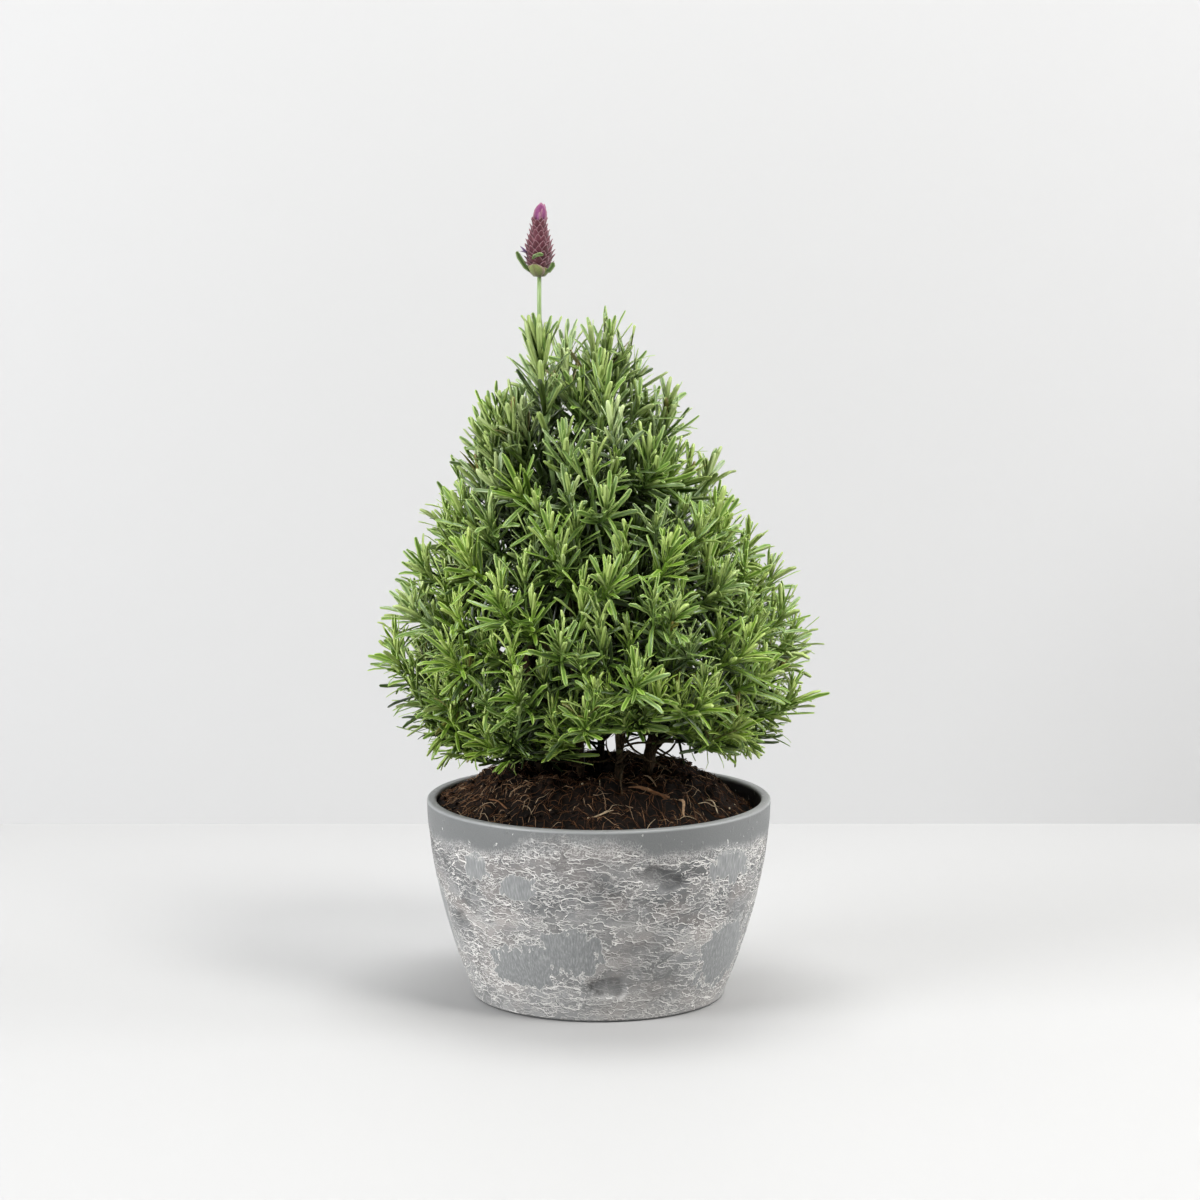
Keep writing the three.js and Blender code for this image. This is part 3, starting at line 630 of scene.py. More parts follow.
def stone_material():
    """Marks: busy with creases (below 0 a pit darkened as painted shade, 1 on the rim as a painted
    highlight), brushed patch, plain band, and near black.
    """
    material, w, shader = new_material("Faux_stone")
    busy, patch, band, near_black = read_marks(w)
    shade, height = add_mottle(w, grain=1500.0, stretch=1.0, spread=1.5)
    streak, streak_height = add_mottle(w, grain=1000.0, stretch=0.03, spread=1.5)
    ragged, _ = add_mottle(w, grain=210.0, stretch=0.7, spread=2.2)
    dots, _ = add_mottle(w, grain=1100.0, stretch=0.8, spread=3.0)
    place = w.node("TexCoord").outputs["Object"]
    rim_noise = w.sum("SUBTRACT", ragged, 0.5)
    patch_edge = w.sum("ADD", patch, rim_noise)
    smooth = w.sum("GREATER_THAN", patch_edge, 0.5)
    plain_band = w.ramp(w.sum("MULTIPLY_ADD", rim_noise, 0.6, band), (0.2, 0), (0.85, 1))
    covered = w.sum("MAXIMUM", smooth, plain_band)
    bare = w.sum("SUBTRACT", 1.0, covered)
    crests, shadows, tone = stone_sheets(w, place, busy)
    ground = rough_stone(w, place, shade, tone, shadows)
    # Painted shade: the pits, where busy is below 0, are darkened.
    ground = w.blend(w.span(busy, -0.2, -1.4, 0.0, 0.24), ground, "#3a3b3c")
    brushed = w.ramp(streak, (0.15, "#6e7071"), (0.5, "#808282"), (0.9, "#a3a4a3"))
    ground = w.blend(smooth, ground, brushed)
    plain = w.ramp(shade, (0.1, "#606262"), (0.9, "#6f7171"))
    # Painted highlight: the rim's rows carry busy 1, so the plain colour is lightened there.
    plain = w.blend(w.sum("MULTIPLY", w.sum("MAXIMUM", busy, 0.0), 0.6), plain, "#9a9c9c")
    # Where the last mark is 1, as on the inside wall, the plain colour is near black.
    ground = w.blend(plain_band, ground, w.blend(near_black, plain, "#1c1a18"))
    crests = w.sum("MULTIPLY", crests, bare)
    border = w.ramp(patch_edge, (0.4, 0), (0.46, 1), (0.5, 1), (0.52, 0))
    crests = w.sum("MAXIMUM", crests, w.sum("MULTIPLY", border, 0.8))
    dotted = w.ramp(band, (0.0, 0), (0.1, 1), (0.6, 0.6), (0.97, 0))
    dotted = w.sum("MULTIPLY", w.sum("GREATER_THAN", dots, 0.62), dotted)
    crests = w.sum("MAXIMUM", crests, w.sum("MULTIPLY", dotted, 0.45))
    ground = w.blend(w.sum("MULTIPLY", crests, 0.85), ground, "#e6e4e0")
    relief = w.sum("MULTIPLY_ADD", tone, 2.0, w.sum("MULTIPLY", crests, 0.6))
    relief = w.sum("MULTIPLY", relief, bare)
    relief = w.sum("MULTIPLY_ADD", height, 0.2, relief)
    relief = w.sum("MULTIPLY_ADD", w.sum("MULTIPLY", streak_height, smooth), 0.4, relief)
    roughness = w.span(covered, 0.0, 1.0, 0.8, 0.42)
    finish(w, shader, ground, roughness, gloss=0.45, height=relief, depth=0.0006, strength=0.7)
    return material


def bract_material():
    """Marks: tone from green to maroon and pink, side (0 middle to 1 edge), along, and midrib."""
    material, w, shader = new_material("Bract")
    tone, side, along, rib = read_marks(w)
    shade, height = add_mottle(w, grain=1500.0, stretch=0.4, spread=1.2)
    body = w.ramp(tone, (0.0, "#7e8d4c"), (0.2, "#6a7040"), (0.4, "#4c1f24"), (0.6, "#613039"),
                  (0.78, "#7c3a68"), (0.9, "#8c4883"), (1.0, "#553a78"))
    body = w.blend(w.ramp(side, (0.66, 0), (1.0, 0.65)), body, "#9a747a")
    body = w.tint(body, shade, (0.2, (0.6, 0.58, 0.6)), (0.8, (1.25, 1.2, 1.25)))
    body = w.tint(body, along, (0.0, (0.4, 0.36, 0.36)), (0.6, 1))
    body = w.blend(w.sum("MULTIPLY", rib, 0.35), body, "#4e2034")
    finish(w, shader, body, roughness=0.68, gloss=0.25, height=height, depth=0.0003, strength=0.5)
    shader.inputs["Sheen Weight"].default_value = 0.25
    return material


def board_material(name, shade):
    """Smooth painted board for the floor and the wall, seen from the front only."""
    material, w, shader = new_material(name)
    shader.inputs["Base Color"].default_value = (*shade, 1)
    shader.inputs["Roughness"].default_value = 0.55
    shader.inputs["Specular IOR Level"].default_value = 0.2
    from_behind = w.node("NewGeometry").outputs["Backfacing"]
    join_shaders(w, material, from_behind, shader, w.node("BsdfTransparent"))
    return material


LEAF = leaf_material()
BARK = bark_material()
SOIL = soil_material()
STONE = stone_material()
BRACT = bract_material()


# Bowl

def pot_radius(height):
    inward = np.maximum(0, 1 - np.asarray(height) / POT_HEIGHT) ** WALL_BULGE
    return RIM_RADIUS - BASE_INSET * inward


def bore_radius(height):
    return pot_radius(height) - POT_WALL


# Smooth patches on the wall: degrees right of the front, height, half width and half height
BRUSHED_PATCHES = [
    (-10, 50, 19, 16), (-31, 37, 24, 14), (-28, 93, 12, 8), (-46, 104, 10, 11), (50, 104, 20, 12),
    (58, 40, 25, 22), (-82, 60, 20, 22), (-112, 98, 16, 10), (96, 78, 20, 16), (128, 38, 24, 18),
    (160, 92, 22, 13), (196, 50, 22, 20), (232, 96, 16, 12),
]
# Hollows where a flake came off, in the same way
PITS = [
    (4, 25, 12, 7.5), (19, 103, 13, 6), (25, 96, 9, 6), (-60, 62, 7, 5), (118, 60, 10, 7),
    (205, 88, 9, 6),
]
LAYERED_SIDE = 26  # degrees right of the front where the creases lie in level layers


def patch_mask(angle, height, radius, warp, place, edge=0.5, power=3):
    turn, level, half_width, half_height = place
    off = np.degrees(angle) + 90 - turn
    off = np.radians((off + 180) % 360 - 180) * radius
    across, up = np.abs(off / half_width), np.abs((height - level) / half_height)
    reach = (across**power + up**power) ** (1 / power)
    return smooth_step(1 + warp - reach, -edge, edge)


def stone_relief(angle, height, radius):
    """Marks and relief of the bowl's outer wall; the last mark, which turns the plain band near
    black, lies where the creases are level.
    """
    place = ring(angle, radius, height)
    shift = np.stack([layered_noise(place, 12, 3, seed) for seed in (11, 23, 37)], -1)
    warped = place + 5 * shift
    facing = np.cos(angle + math.pi / 2 - math.radians(LAYERED_SIDE))
    level = smooth_step(facing, 0.45, 0.95) * (1 - smooth_step(height, 55, 100))
    level = np.maximum(level, 0.5 * smooth_step(layered_noise(place, 60, 2, 43), 0.1, 0.6))
    squeeze = np.stack([np.ones_like(level), np.ones_like(level), 1.3 + 2 * level], -1)
    terraces = 3 * layered_noise(warped * squeeze, 22, 3, 3)
    terraces = np.floor(terraces) + smooth_step(terraces - np.floor(terraces), 0.55, 1)
    busy = smooth_step(layered_noise(place, 26, 2, 41), -0.35, 0.4)
    ragged = layered_noise(place * [1, 1, 0.6], 7, 3, 51)
    patch = np.zeros_like(radius * angle)
    for spot in BRUSHED_PATCHES:
        patch = np.maximum(patch, patch_mask(angle, height, radius, 0.35 * ragged, spot))
    climb = smooth_step(np.cos(angle + math.pi / 2 + math.radians(6)), 0.9, 0.97)
    band_edge = 108 + 6 * layered_noise(place * [1, 1, 0.25], 20, 3, 71) + 12 * climb
    band = smooth_step(height, band_edge - 7 * climb, band_edge + 12 + 3 * climb)
    pit = sum(patch_mask(angle, height, radius, 0.45 * ragged, spot, edge=0.16, power=2)
              for spot in PITS)
    crumpled = noise(warped * squeeze, 3.4, 99) + 0.6 * noise(warped * squeeze, 1.9, 101)
    relief = 0.16 * terraces + 0.15 * crumpled
    sunk = smooth_step(patch, 0.35, 0.65)
    relief = (relief - 0.25) * (1 - band) * (1 - sunk) - 0.4 * sunk * (1 - band) - 2.8 * pit
    relief = relief * smooth_step(height, 3, 9)
    bare = 1 - band
    # A pit lowers the first mark, which darkens it as painted shade.
    return np.stack([busy * bare - 2.2 * pit, patch * bare, band, level * bare], -1), relief


def pot_rows():
    """The bowl's rings from its foot up the wall, over the rim and down inside."""
    foot = pot_radius(FOOT_ROUND)
    rows = [(foot * 0.55, 0, "plain")]
    for turn in np.linspace(0, math.pi / 2, 5):
        rows.append((foot - FOOT_ROUND * (1 - math.sin(turn)),
                     FOOT_ROUND * (1 - math.cos(turn)), "plain" if turn < 1 else "wall"))
    for height in np.linspace(FOOT_ROUND + 1, POT_HEIGHT - 2.2, POT_ROWS):
        rows.append((float(pot_radius(height)), height, "wall"))
    for turn in np.linspace(0.2, math.pi / 2, 4):
        rows.append((RIM_RADIUS - RIM_ROUND * (1 - math.cos(turn)),
                     POT_HEIGHT - RIM_ROUND * (1 - math.sin(turn)), "rim"))
    for turn in np.linspace(0, math.pi / 2, 4):
        rows.append((RIM_RADIUS - POT_WALL + RIM_ROUND * (1 - math.sin(turn)),
                     POT_HEIGHT - RIM_ROUND * (1 - math.cos(turn)), "rim"))
    return rows + [(float(bore_radius(height)), height, "inside")
                   for height in (131, 126, 115, 60, POT_FLOOR)]


def make_pot():
    angle = turns(POT_SIDES)
    rows = pot_rows()
    corners, marks = [], []
    for radius, height, kind in rows:
        # Rim rows carry a first mark of 1, a painted highlight; the inside rows carry the
        # near-black mark.
        mark = np.tile([float(kind == "rim"), 0, 1, float(kind == "inside")], (POT_SIDES, 1))
        relief = np.zeros(POT_SIDES)
        if kind == "wall":
            mark, relief = stone_relief(angle, np.full(POT_SIDES, float(height)), radius)
        corners.append(ring(angle, radius + relief, height))
        marks.append(mark)
    corners.append([[0, 0, 0], [0, 0, POT_FLOOR]])
    marks.append([[0, 0, 1, 0], [0, 0, 1, 0]])
    pile = Pile()
    faces = closed_faces(len(rows), POT_SIDES)
    pile.add(np.concatenate(corners), faces, np.concatenate(marks))
    pile.piece("Stone_bowl", STONE, "pot", ["pot"])


# Soil

def soil_height(x, y):
    edge = SOIL_EDGE - SOIL_EDGE_TILT * x / RIM_RADIUS
    share = np.hypot(x, y) / bore_radius(SOIL_EDGE)
    heap = 1 - smooth_step(share, MOUND_SHOULDER, 1)
    clods = (
        np.sin(0.11 * x + 0.05 * y + 1) * np.sin(0.13 * y - 0.04 * x)
        + 0.7 * np.sin(0.21 * x - 0.17 * y) * np.sin(0.19 * y + 0.12 * x + 2)
    )
    return mix(edge, MOUND_TOP, heap) + SOIL_RELIEF * clods * (1 - share**4)


def rough_soil(x, y):
    """The fine surface of the soil, and each point's painted shade, darker the deeper it lies in a
    dip.
    """
    place = np.stack([x, y, np.zeros_like(x)], -1)
    lumps = 1.5 * layered_noise(place, 13, 4, 5)
    crumbs = noise(place, 2.2, 8)
    share = np.hypot(x, y) / bore_radius(SOIL_EDGE)
    heap = 2 * (1 - share**2) + 6 * np.sin(math.pi * np.clip((share - 0.36) / 0.62, 0, 1))
    heap = heap + 2 * smooth_step(-x, 30, 105)
    return soil_height(x, y) + heap + 2.3 * lumps + 1.2 * crumbs, np.clip(-1.6 * lumps, 0, 1)


def soil_top(x, y):
    return float(rough_soil(np.array(x), np.array(y))[0])


def spot_on_soil(draw, reach, least=0.0):
    away = reach * math.sqrt(draw.uniform(least, 1))
    turn = draw.uniform(0, 2 * math.pi)
    return away * math.cos(turn), away * math.sin(turn)


def make_soil():
    reach = float(bore_radius(SOIL_EDGE)) - 0.5
    angle = turns(SOIL_SIDES)
    corners, marks = [], []
    for height in (POT_FLOOR + 0.4, 60, 110):
        corners.append(ring(angle, float(bore_radius(height)) - 0.6, height))
        # The soil's sides against the bowl are near black: painted shade.
        marks.append(np.tile([0.0, 1, 0, 0], (SOIL_SIDES, 1)))
    for share in np.linspace(1, 0.004, SOIL_RINGS):
        x, y = np.cos(angle) * reach * share, np.sin(angle) * reach * share
        height, hollow_shade = rough_soil(x, y)
        place = np.stack([x, y, height], -1)
        rust = 0.15 + 0.22 * layered_noise(place, 24, 2, 15) + 0.26 * noise(place, 3, 19)
        rust = rust + 0.12 * smooth_step(-x, 30, 100)
        corners.append(place)
        marks.append(np.stack([rust, 0.8 * hollow_shade, x * 0, x * 0], -1))
    faces = closed_faces(len(corners), SOIL_SIDES)
    corners.append([[0, 0, POT_FLOOR + 0.4], [0, 0, corners[-1][:, 2].mean()]])
    marks.append([[0, 1, 0, 0], [0.2, 0, 0, 0]])
    pile = Pile()
    pile.add(np.concatenate(corners), faces, np.concatenate(marks))
    pile.piece("Soil_bed", SOIL, "soil", ["soil"])


def fibre_path(draw, x, y, length, lift):
    """A hair of root that wanders over the soil."""
    angle = draw.uniform(0, 2 * math.pi)
    curl = draw.gauss(0, 0.6)
    points = []
    steps = 7
    limit = float(bore_radius(SOIL_EDGE)) - 1.5
    rise = draw.uniform(0.2, 1) * lift
    for i in range(steps):
        share = i / (steps - 1)
        height = soil_top(x, y)
        arch = math.sin(math.pi * share) if rise < 2.5 else share
        points.append((x, y, height + 0.2 + rise * arch + draw.uniform(-0.2, 0.5)))
        angle += curl / steps + draw.gauss(0, 0.2)
        x += math.cos(angle) * length / steps
        y += math.sin(angle) * length / steps
        away = math.hypot(x, y)
        if away > limit:
            x, y = x * limit / away, y * limit / away
    return smooth_through(points, steps=3)


def make_fibres():
    """Loose fibres: every twelfth stands up, and every thirtieth is long and pale."""
    draw = random.Random(4)
    pile = Pile()
    reach = float(bore_radius(SOIL_EDGE)) - 2
    for i in range(FIBRES):
        x, y = spot_on_soil(draw, reach, 0.02)
        rusty = 0.1 if x < -40 else 0
        tone = min(0.92, max(0.35, draw.gauss(0.67 + rusty, 0.13)))
        length, radius, lift = draw.uniform(5, 15), draw.uniform(0.13, 0.26), 1.8
        if i % 12 == 0:
            lift = 4.5
        if i % 30 == 0:
            tone, length, radius = draw.uniform(0.86, 0.98), draw.uniform(12, 24), 0.2
        path = fibre_path(draw, x, y, length, lift)
        radii = [radius, radius, radius * 0.5]
        tube(pile, path, radii, sides=3, marks=(tone, 0, 0, 0), steps=4)
    pile.piece("Coir_fibres", SOIL, "soil")


def lump(pile, draw, centre, size, tone, squash=(1, 1, 1)):
    """A small rough grain, from a sphere of rings."""
    rings, sides = 5, 7
    points = []
    for i in range(rings):
        polar = math.pi * (i + 0.7) / (rings + 0.4)
        for side in range(sides):
            angle = side / sides * 2 * math.pi + i
            reach = size * draw.uniform(0.75, 1.2)
            points.append((
                reach * math.sin(polar) * math.cos(angle) * squash[0],
                reach * math.sin(polar) * math.sin(angle) * squash[1],
                -reach * math.cos(polar) * squash[2],
            ))
    points.append((0, 0, -size * squash[2]))
    points.append((0, 0, size * squash[2]))
    turn = draw.uniform(0, math.pi)
    points = np.array(points)
    points[:, :2] = points[:, :2] @ np.array([
        [math.cos(turn), math.sin(turn)], [-math.sin(turn), math.cos(turn)],
    ])
    pile.add(points + centre, closed_faces(rings, sides), (tone, 0, 0, 0))


def make_crumbs():
    """Crumbs of soil, and every fiftieth a white speck."""
    draw = random.Random(9)
    pile = Pile()
    reach = float(bore_radius(SOIL_EDGE)) - 3
    for i in range(CRUMBS):
        x, y = spot_on_soil(draw, reach)
        size = draw.uniform(0.7, 2.2)
        height = soil_top(x, y) + 0.3 * size
        tone = draw.uniform(0.1, 0.6)
        if i % 50 == 0:
            tone, size = 1.0, 0.9
        lump(pile, draw, (x, y, height), size, tone, (1.3, 0.9, 0.7))
    pile.piece("Soil_crumbs", SOIL, "soil")


# Things lying on the soil: from, to, radius and tone
STRAWS = [
    ((47, -62), (20, -60), 1.3, 0.8), ((44, -66), (27, -58), 0.8, 0.76),
    ((53, -58), (57, -70), 0.9, 0.9), ((30, -30), (38, -52), 0.6, 0.93),
    ((-8, -92), (10, -80), 0.55, 0.95), ((-30, -48), (-24, -34), 0.8, 0.86),
    ((-72, -52), (-58, -66), 0.7, 0.78), ((70, -40), (84, -52), 0.4, 1.0),
    ((66, -48), (78, -38), 0.35, 1.0), ((-60, 40), (-38, 52), 1.1, 0.8),
    ((40, 60), (62, 44), 0.8, 0.86),
]


def make_straws():
    draw = random.Random(31)
    pile = Pile()
    for (x0, y0), (x1, y1), radius, tone in STRAWS:
        points = []
        for share in (0, 0.35, 0.7, 1):
            x, y = mix(x0, x1, share), mix(y0, y1, share)
            height = soil_top(x, y) + radius + 0.8
            points.append((x + draw.uniform(-1, 1), y + draw.uniform(-1, 1), height))
        points[1] = (*points[1][:2], max(points[1][2], points[0][2]))
        radii = [radius * 0.6, radius, radius * 0.9, radius * 0.4]
        tube(pile, smooth_through(points, steps=5), radii, sides=6, marks=(tone, 0, 0, 0),
             steps=14, roughness=0.35)
    pile.piece("Bark_and_straws", SOIL, "soil")


# Growth, as in the solids

def outline_table(steps=140):
    points = np.array(CROWN_OUTLINE, float)
    last = len(points) - 1
    made = []
    for i in range(steps + 1):
        whole = i / steps * last
        k = min(int(whole), last)
        t = whole - k
        a, b = points[max(k - 1, 0)], points[k]
        c, d = points[min(k + 1, last)], points[min(k + 2, last)]
        leave, arrive = (c - a) / 2, (d - b) / 2
        made.append(hermite(b, c, leave, arrive, t))
    made = np.array(made)
    steps_between = np.linalg.norm(np.diff(made, axis=0), axis=1)
    area = np.concatenate([[0], np.cumsum(steps_between * (made[1:, 0] + made[:-1, 0]))])
    return made, area


OUTLINE, OUTLINE_AREA = outline_table()


def shoot_tip(index, count=SHOOT_COUNT, first_angle=FIRST_SHOOT_ANGLE, inset=1.0):
    wanted = (index + 0.5) / count * OUTLINE_AREA[-1]
    radius, height = OUTLINE[np.argmax(OUTLINE_AREA >= wanted)]
    angle = index * GOLDEN_ANGLE + first_angle + 0.1 * scatter(index, SCATTER_TURN)
    share = max(0, (height - CROWN_BOTTOM) / CROWN_HEIGHT)
    rise = mix(LOW_RISE, HIGH_RISE, share**0.8) + 0.12 * scatter(index, SCATTER_RISE)
    reach = radius * (1 + 0.04 * scatter(index, SCATTER_REACH)) * inset
    axis = np.array([CROWN_LEAN * share**2, 0, height])
    tip = axis + pointing(angle, 0) * reach
    return {"tip": tip, "angle": angle, "rise": rise, "share": share, "shade": 0.0, "hangs": False}


def stem_path(start, shoot):
    heading = pointing(shoot["angle"], shoot["rise"])
    end = shoot["tip"] - heading * LEAF_REACH
    bend = end - heading * 0.5 * np.linalg.norm(end - start)
    return bend_through(start, bend, end)


def fork_point(shoot):
    return shoot["tip"] - pointing(shoot["angle"], shoot["rise"] - TURN_UP) * SHOOT_LENGTH


def grow_branches():
    branches = []
    for block in range(0, SHOOT_COUNT, 2 * PAIR_STEP):
        for i in range(block, block + PAIR_STEP):
            main, side = shoot_tip(i), shoot_tip(i + PAIR_STEP)
            stem = stem_path(fork_point(main), main)
            fork = stem_path(stem.at(0.1 * stem.length), side)
            branches.append([(main, stem), (side, fork)])
    return branches


def woody_path(angle, distance):
    places = [
        (distance, HOLE_FLOOR + 0.3), (distance, 156), (distance + WOODY_SPREAD, 200),
        (distance + WOODY_SPREAD * 0.4, 260), (distance * 0.55, WOODY_TOP),
    ]
    out = pointing(math.radians(angle), 0)
    return smooth_through([out * reach + UP * height for reach, height in places])


def twig_path(stem, start, heading):
    reach = math.hypot(start[0], start[1])
    height = min(max(start[2] - TWIG_DROP - TWIG_SLANT * reach, LOWEST_TWIG), WOODY_TOP - 6)
    spots = stem.at(np.linspace(0, stem.length, 81))
    origin = spots[np.argmin(np.abs(spots[:, 2] - height))]
    bend = start - heading * 0.45 * np.linalg.norm(start - origin)
    return bend_through(origin, bend, start)


BRANCHES = grow_branches()
FLOWER = smooth_through(FLOWER_PATH)


def greener(along):
    """Marks of a twig that turns from brown to green on its way out."""
    return np.stack([0.7 * along, along, along, along], -1)


def make_woody_stems():
    draw = random.Random(17)
    woody = [(woody_path(angle, distance), angle, radius)
             for angle, distance, radius in WOODY_STEMS]
    twigs = [[] for _ in woody]
    for path in [branch[0][1] for branch in BRANCHES] + [FLOWER]:
        start = path.at(0)
        turn = math.degrees(math.atan2(start[1], start[0]))
        away = [abs((turn - angle + 180) % 360 - 180) for _, angle, _ in woody]
        nearest = int(np.argmin(away))
        twigs[nearest].append(twig_path(woody[nearest][0], start, path.heading(0)))
    for i, (path, _, radius) in enumerate(woody):
        pile = Pile()
        radii = [radius, radius, radius * 0.8, WOODY_TIP_RADIUS]
        tube(pile, path, radii, sides=14, marks=(0.05, 0, 0, 0), steps=60, roughness=0.4)
        for twig in twigs[i]:
            radii = [TWIG_RADIUS * 1.05, TWIG_RADIUS * 0.85, TWIG_RADIUS * 0.9]
            tube(pile, twig, radii, sides=8, marks=greener, steps=22, roughness=0.3)
        for _ in range(DEAD_TWIGS):
            dead_twig(pile, draw, path)
        pile.piece(f"Woody_stem_{i + 1:02d}", BARK, "woody_stem", [f"woody_stem_{i + 1:02d}"])


def dead_twig(pile, draw, path):
    """A short bare twig off the lower part of a woody stem."""
    origin = path.at(draw.uniform(44, 90))
    angle = math.atan2(origin[1], origin[0]) + draw.gauss(0, 0.9)
    rise = draw.uniform(-0.1, 0.9)
    step = draw.uniform(7, 12)
    points = [origin]
    for _ in range(4):
        angle += draw.gauss(0, 0.4)
        rise += draw.gauss(0, 0.3)
        points.append(points[-1] + pointing(angle, rise) * step)
    points = [(x, y, max(z, float(soil_height(x, y)) + 2.5)) for x, y, z in points]
    tube(pile, smooth_through(points, steps=6), [0.9, 0.7, 0.4], sides=6, marks=(0.1, 0, 0, 0),
         steps=14, roughness=0.3)


# Leaves

class Blade:
    """A narrow blade with turned-down edges, a groove along its top and a blunt end.

    A section's corners go from the left edge over the groove to the right edge.
    """

    def __init__(self, section, groove, stations, widths):
        self.section, self.groove = np.array(section), np.array(groove)
        self.margin = np.array([0.25, *[0] * (len(section) - 2), 0.25])
        self.stations, self.widths = np.array(stations), np.array(widths)
        self.depths = np.minimum(1, 0.35 + self.widths)


FINE_BLADE = Blade(
    [(-1, -0.4), (-0.64, 0.5), (0, -0.05), (0.64, 0.5), (1, -0.4)], [0, 0.1, 1, 0.1, 0],
    [0, 0.3, 0.78, 0.965], [0.5, 0.92, 1.0, 0.66],
)
SMALL_BLADE = Blade(
    [(-1, -0.4), (-0.6, 0.5), (0, 0), (0.6, 0.5), (1, -0.4)], [0, 0.1, 1, 0.1, 0],
    [0, 0.5, 0.94], [0.5, 1.0, 0.74],
)
SHADED_BLADE = Blade(
    [(-1, -0.3), (0, 0.5), (1, -0.3)], [0, 0.5, 0], [0, 0.5, 0.94], [0.5, 1.0, 0.7],
)


class Leaves:
    """Collects leaves of one kind and makes all of them at once."""

    def __init__(self, blade):
        self.blade, self.rows = blade, []

    def add(self, root, bend, tip, upper, width, tone, shade_and_withering=0.0, twist=0.0):
        self.rows.append((*root, *bend, *tip, *upper, width, tone, shade_and_withering, twist))

    def pour_into(self, pile):
        if not self.rows:
            return
        rows = np.array(self.rows)
        blade = self.blade
        root, bend, tip, upper = (rows[:, None, k:k + 3] for k in (0, 3, 6, 9))
        width, tone, shade_and_withering, twist = (rows[:, 12 + k] for k in range(4))
        t = blade.stations[None, :, None]
        spine = (1 - t) ** 2 * root + 2 * t * (1 - t) * bend + t**2 * tip
        forward = unit(2 * (1 - t) * (bend - root) + 2 * t * (tip - bend))
        side = unit(np.cross(forward, upper))
        top = np.cross(side, forward)
        turn = (twist[:, None] * blade.stations[None, :])[..., None]
        side, top = (
            side * np.cos(turn) + top * np.sin(turn),
            top * np.cos(turn) - side * np.sin(turn),
        )
        half = 0.5 * width[:, None] * blade.widths[None, :]
        thick = 0.5 * LEAF_THICKNESS * blade.depths[None, :] * np.sqrt(width[:, None] / BLADE_WIDTH)
        corners = (
            spine[:, :, None]
            + side[:, :, None] * (half[:, :, None] * blade.section[:, 0])[..., None]
            + top[:, :, None] * (thick[:, :, None] * blade.section[:, 1])[..., None]
        )
        count, stations, sides = corners.shape[:3]
        ends = np.stack([root[:, 0], tip[:, 0]], 1)
        corners = np.concatenate([corners.reshape(count, -1, 3), ends], 1)
        shape = (count, stations, sides)
        kinds = (tone[:, None, None], blade.groove, blade.margin, shade_and_withering[:, None, None])
        marks = np.stack([np.broadcast_to(kind, shape) for kind in kinds], -1)
        marks = marks.reshape(count, -1, 4)
        end_marks = np.stack([tone, tone * 0 + 0.2, tone * 0 + 0.2, shade_and_withering], -1)[:, None]
        marks = np.concatenate([marks, end_marks, end_marks], 1)
        offsets = (np.arange(count) * (stations * sides + 2))[:, None, None]
        faces = [(block[None] + offsets).reshape(-1, block.shape[1])
                 for block in closed_faces(stations, sides, flipped=True)]
        pile.add(corners.reshape(-1, 3), faces, marks.reshape(-1, 4))


def solid_leaves(node):
    """Where the solid's own blades are: root, widest place, tip and upper side.

    A tip is joined to just four corners, which lie a blade's width and thickness apart.
    """
    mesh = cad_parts[node].data
    mesh.calc_loop_triangles()
    corners = np.array([v.co for v in mesh.vertices]) / MM
    _, first, same = np.unique(np.round(corners, 3), axis=0, return_index=True, return_inverse=True)
    points = corners[first]
    around = [set() for _ in points]
    for triangle in mesh.loop_triangles:
        ids = [int(same.ravel()[v]) for v in triangle.vertices]
        for i in ids:
            around[i].update(ids)
    found = []
    for tip, near in enumerate(around):
        square = sorted(near - {tip})
        if len(square) != 4:
            continue
        gaps = {j: np.linalg.norm(points[j] - points[square[0]]) for j in square[1:]}
        thick = [j for j in gaps if abs(gaps[j] - BLADE_THICKNESS) < 0.05]
        wide = [j for j in gaps if abs(gaps[j] - BLADE_WIDTH) < 0.05]
        if len(thick) != 1 or len(wide) != 1:
            continue
        outer = set().union(*(around[j] for j in square)) - set(square) - {tip}
        if len(outer) < 3:
            continue
        middle = points[square].mean(0)
        root = points[sorted(outer)].mean(0)
        upper = unit(points[thick[0]] - points[square[0]])
        found.append((root, middle, points[tip], upper))
    return found


def skirt_height(x, y):
    """The lowest that leaves hang: highest where the bare stems show."""
    turn = math.atan2(y, x)
    base = mix(SKIRT_LEFT, SKIRT_RIGHT, smooth_step(x, -20, 60))
    base = mix(base, SKIRT_OPEN, smooth_step(x, -32, -16) * (1 - smooth_step(x, 50, 66)))
    base = mix(base, SKIRT_SIDES, smooth_step(abs(x), 84, 108))
    waves = math.sin(5 * turn + 0.6) + 0.7 * math.sin(11 * turn + 2)
    return float(base) - SKIRT_RISE * min(y, 0) + SKIRT_WAVES * waves


def raised(points, share=0.9):
    """Low shoots carried a little higher, clear of the soil in front."""
    points = np.array(points, float)
    low = [max(0, skirt_height(p[0], p[1]) - p[2]) for p in points.reshape(-1, 3)]
    points.reshape(-1, 3)[:, 2] += share * np.array(low)
    return points


def turned_up(draw, root, bend, tip):
    """A leaf that would hang below the crown's lower edge reaches out and up, as long as before."""
    if tip[2] >= skirt_height(tip[0], tip[1]):
        return bend, tip
    length = np.linalg.norm(tip - root)
    drop = root[2] - tip[2]
    tip = tip + UP * (drop + abs(drop) * draw.uniform(-0.3, 0.7))
    tip = root + unit(tip - root) * length
    return (root + tip) / 2 + UP * draw.uniform(0, 0.12) * length, tip


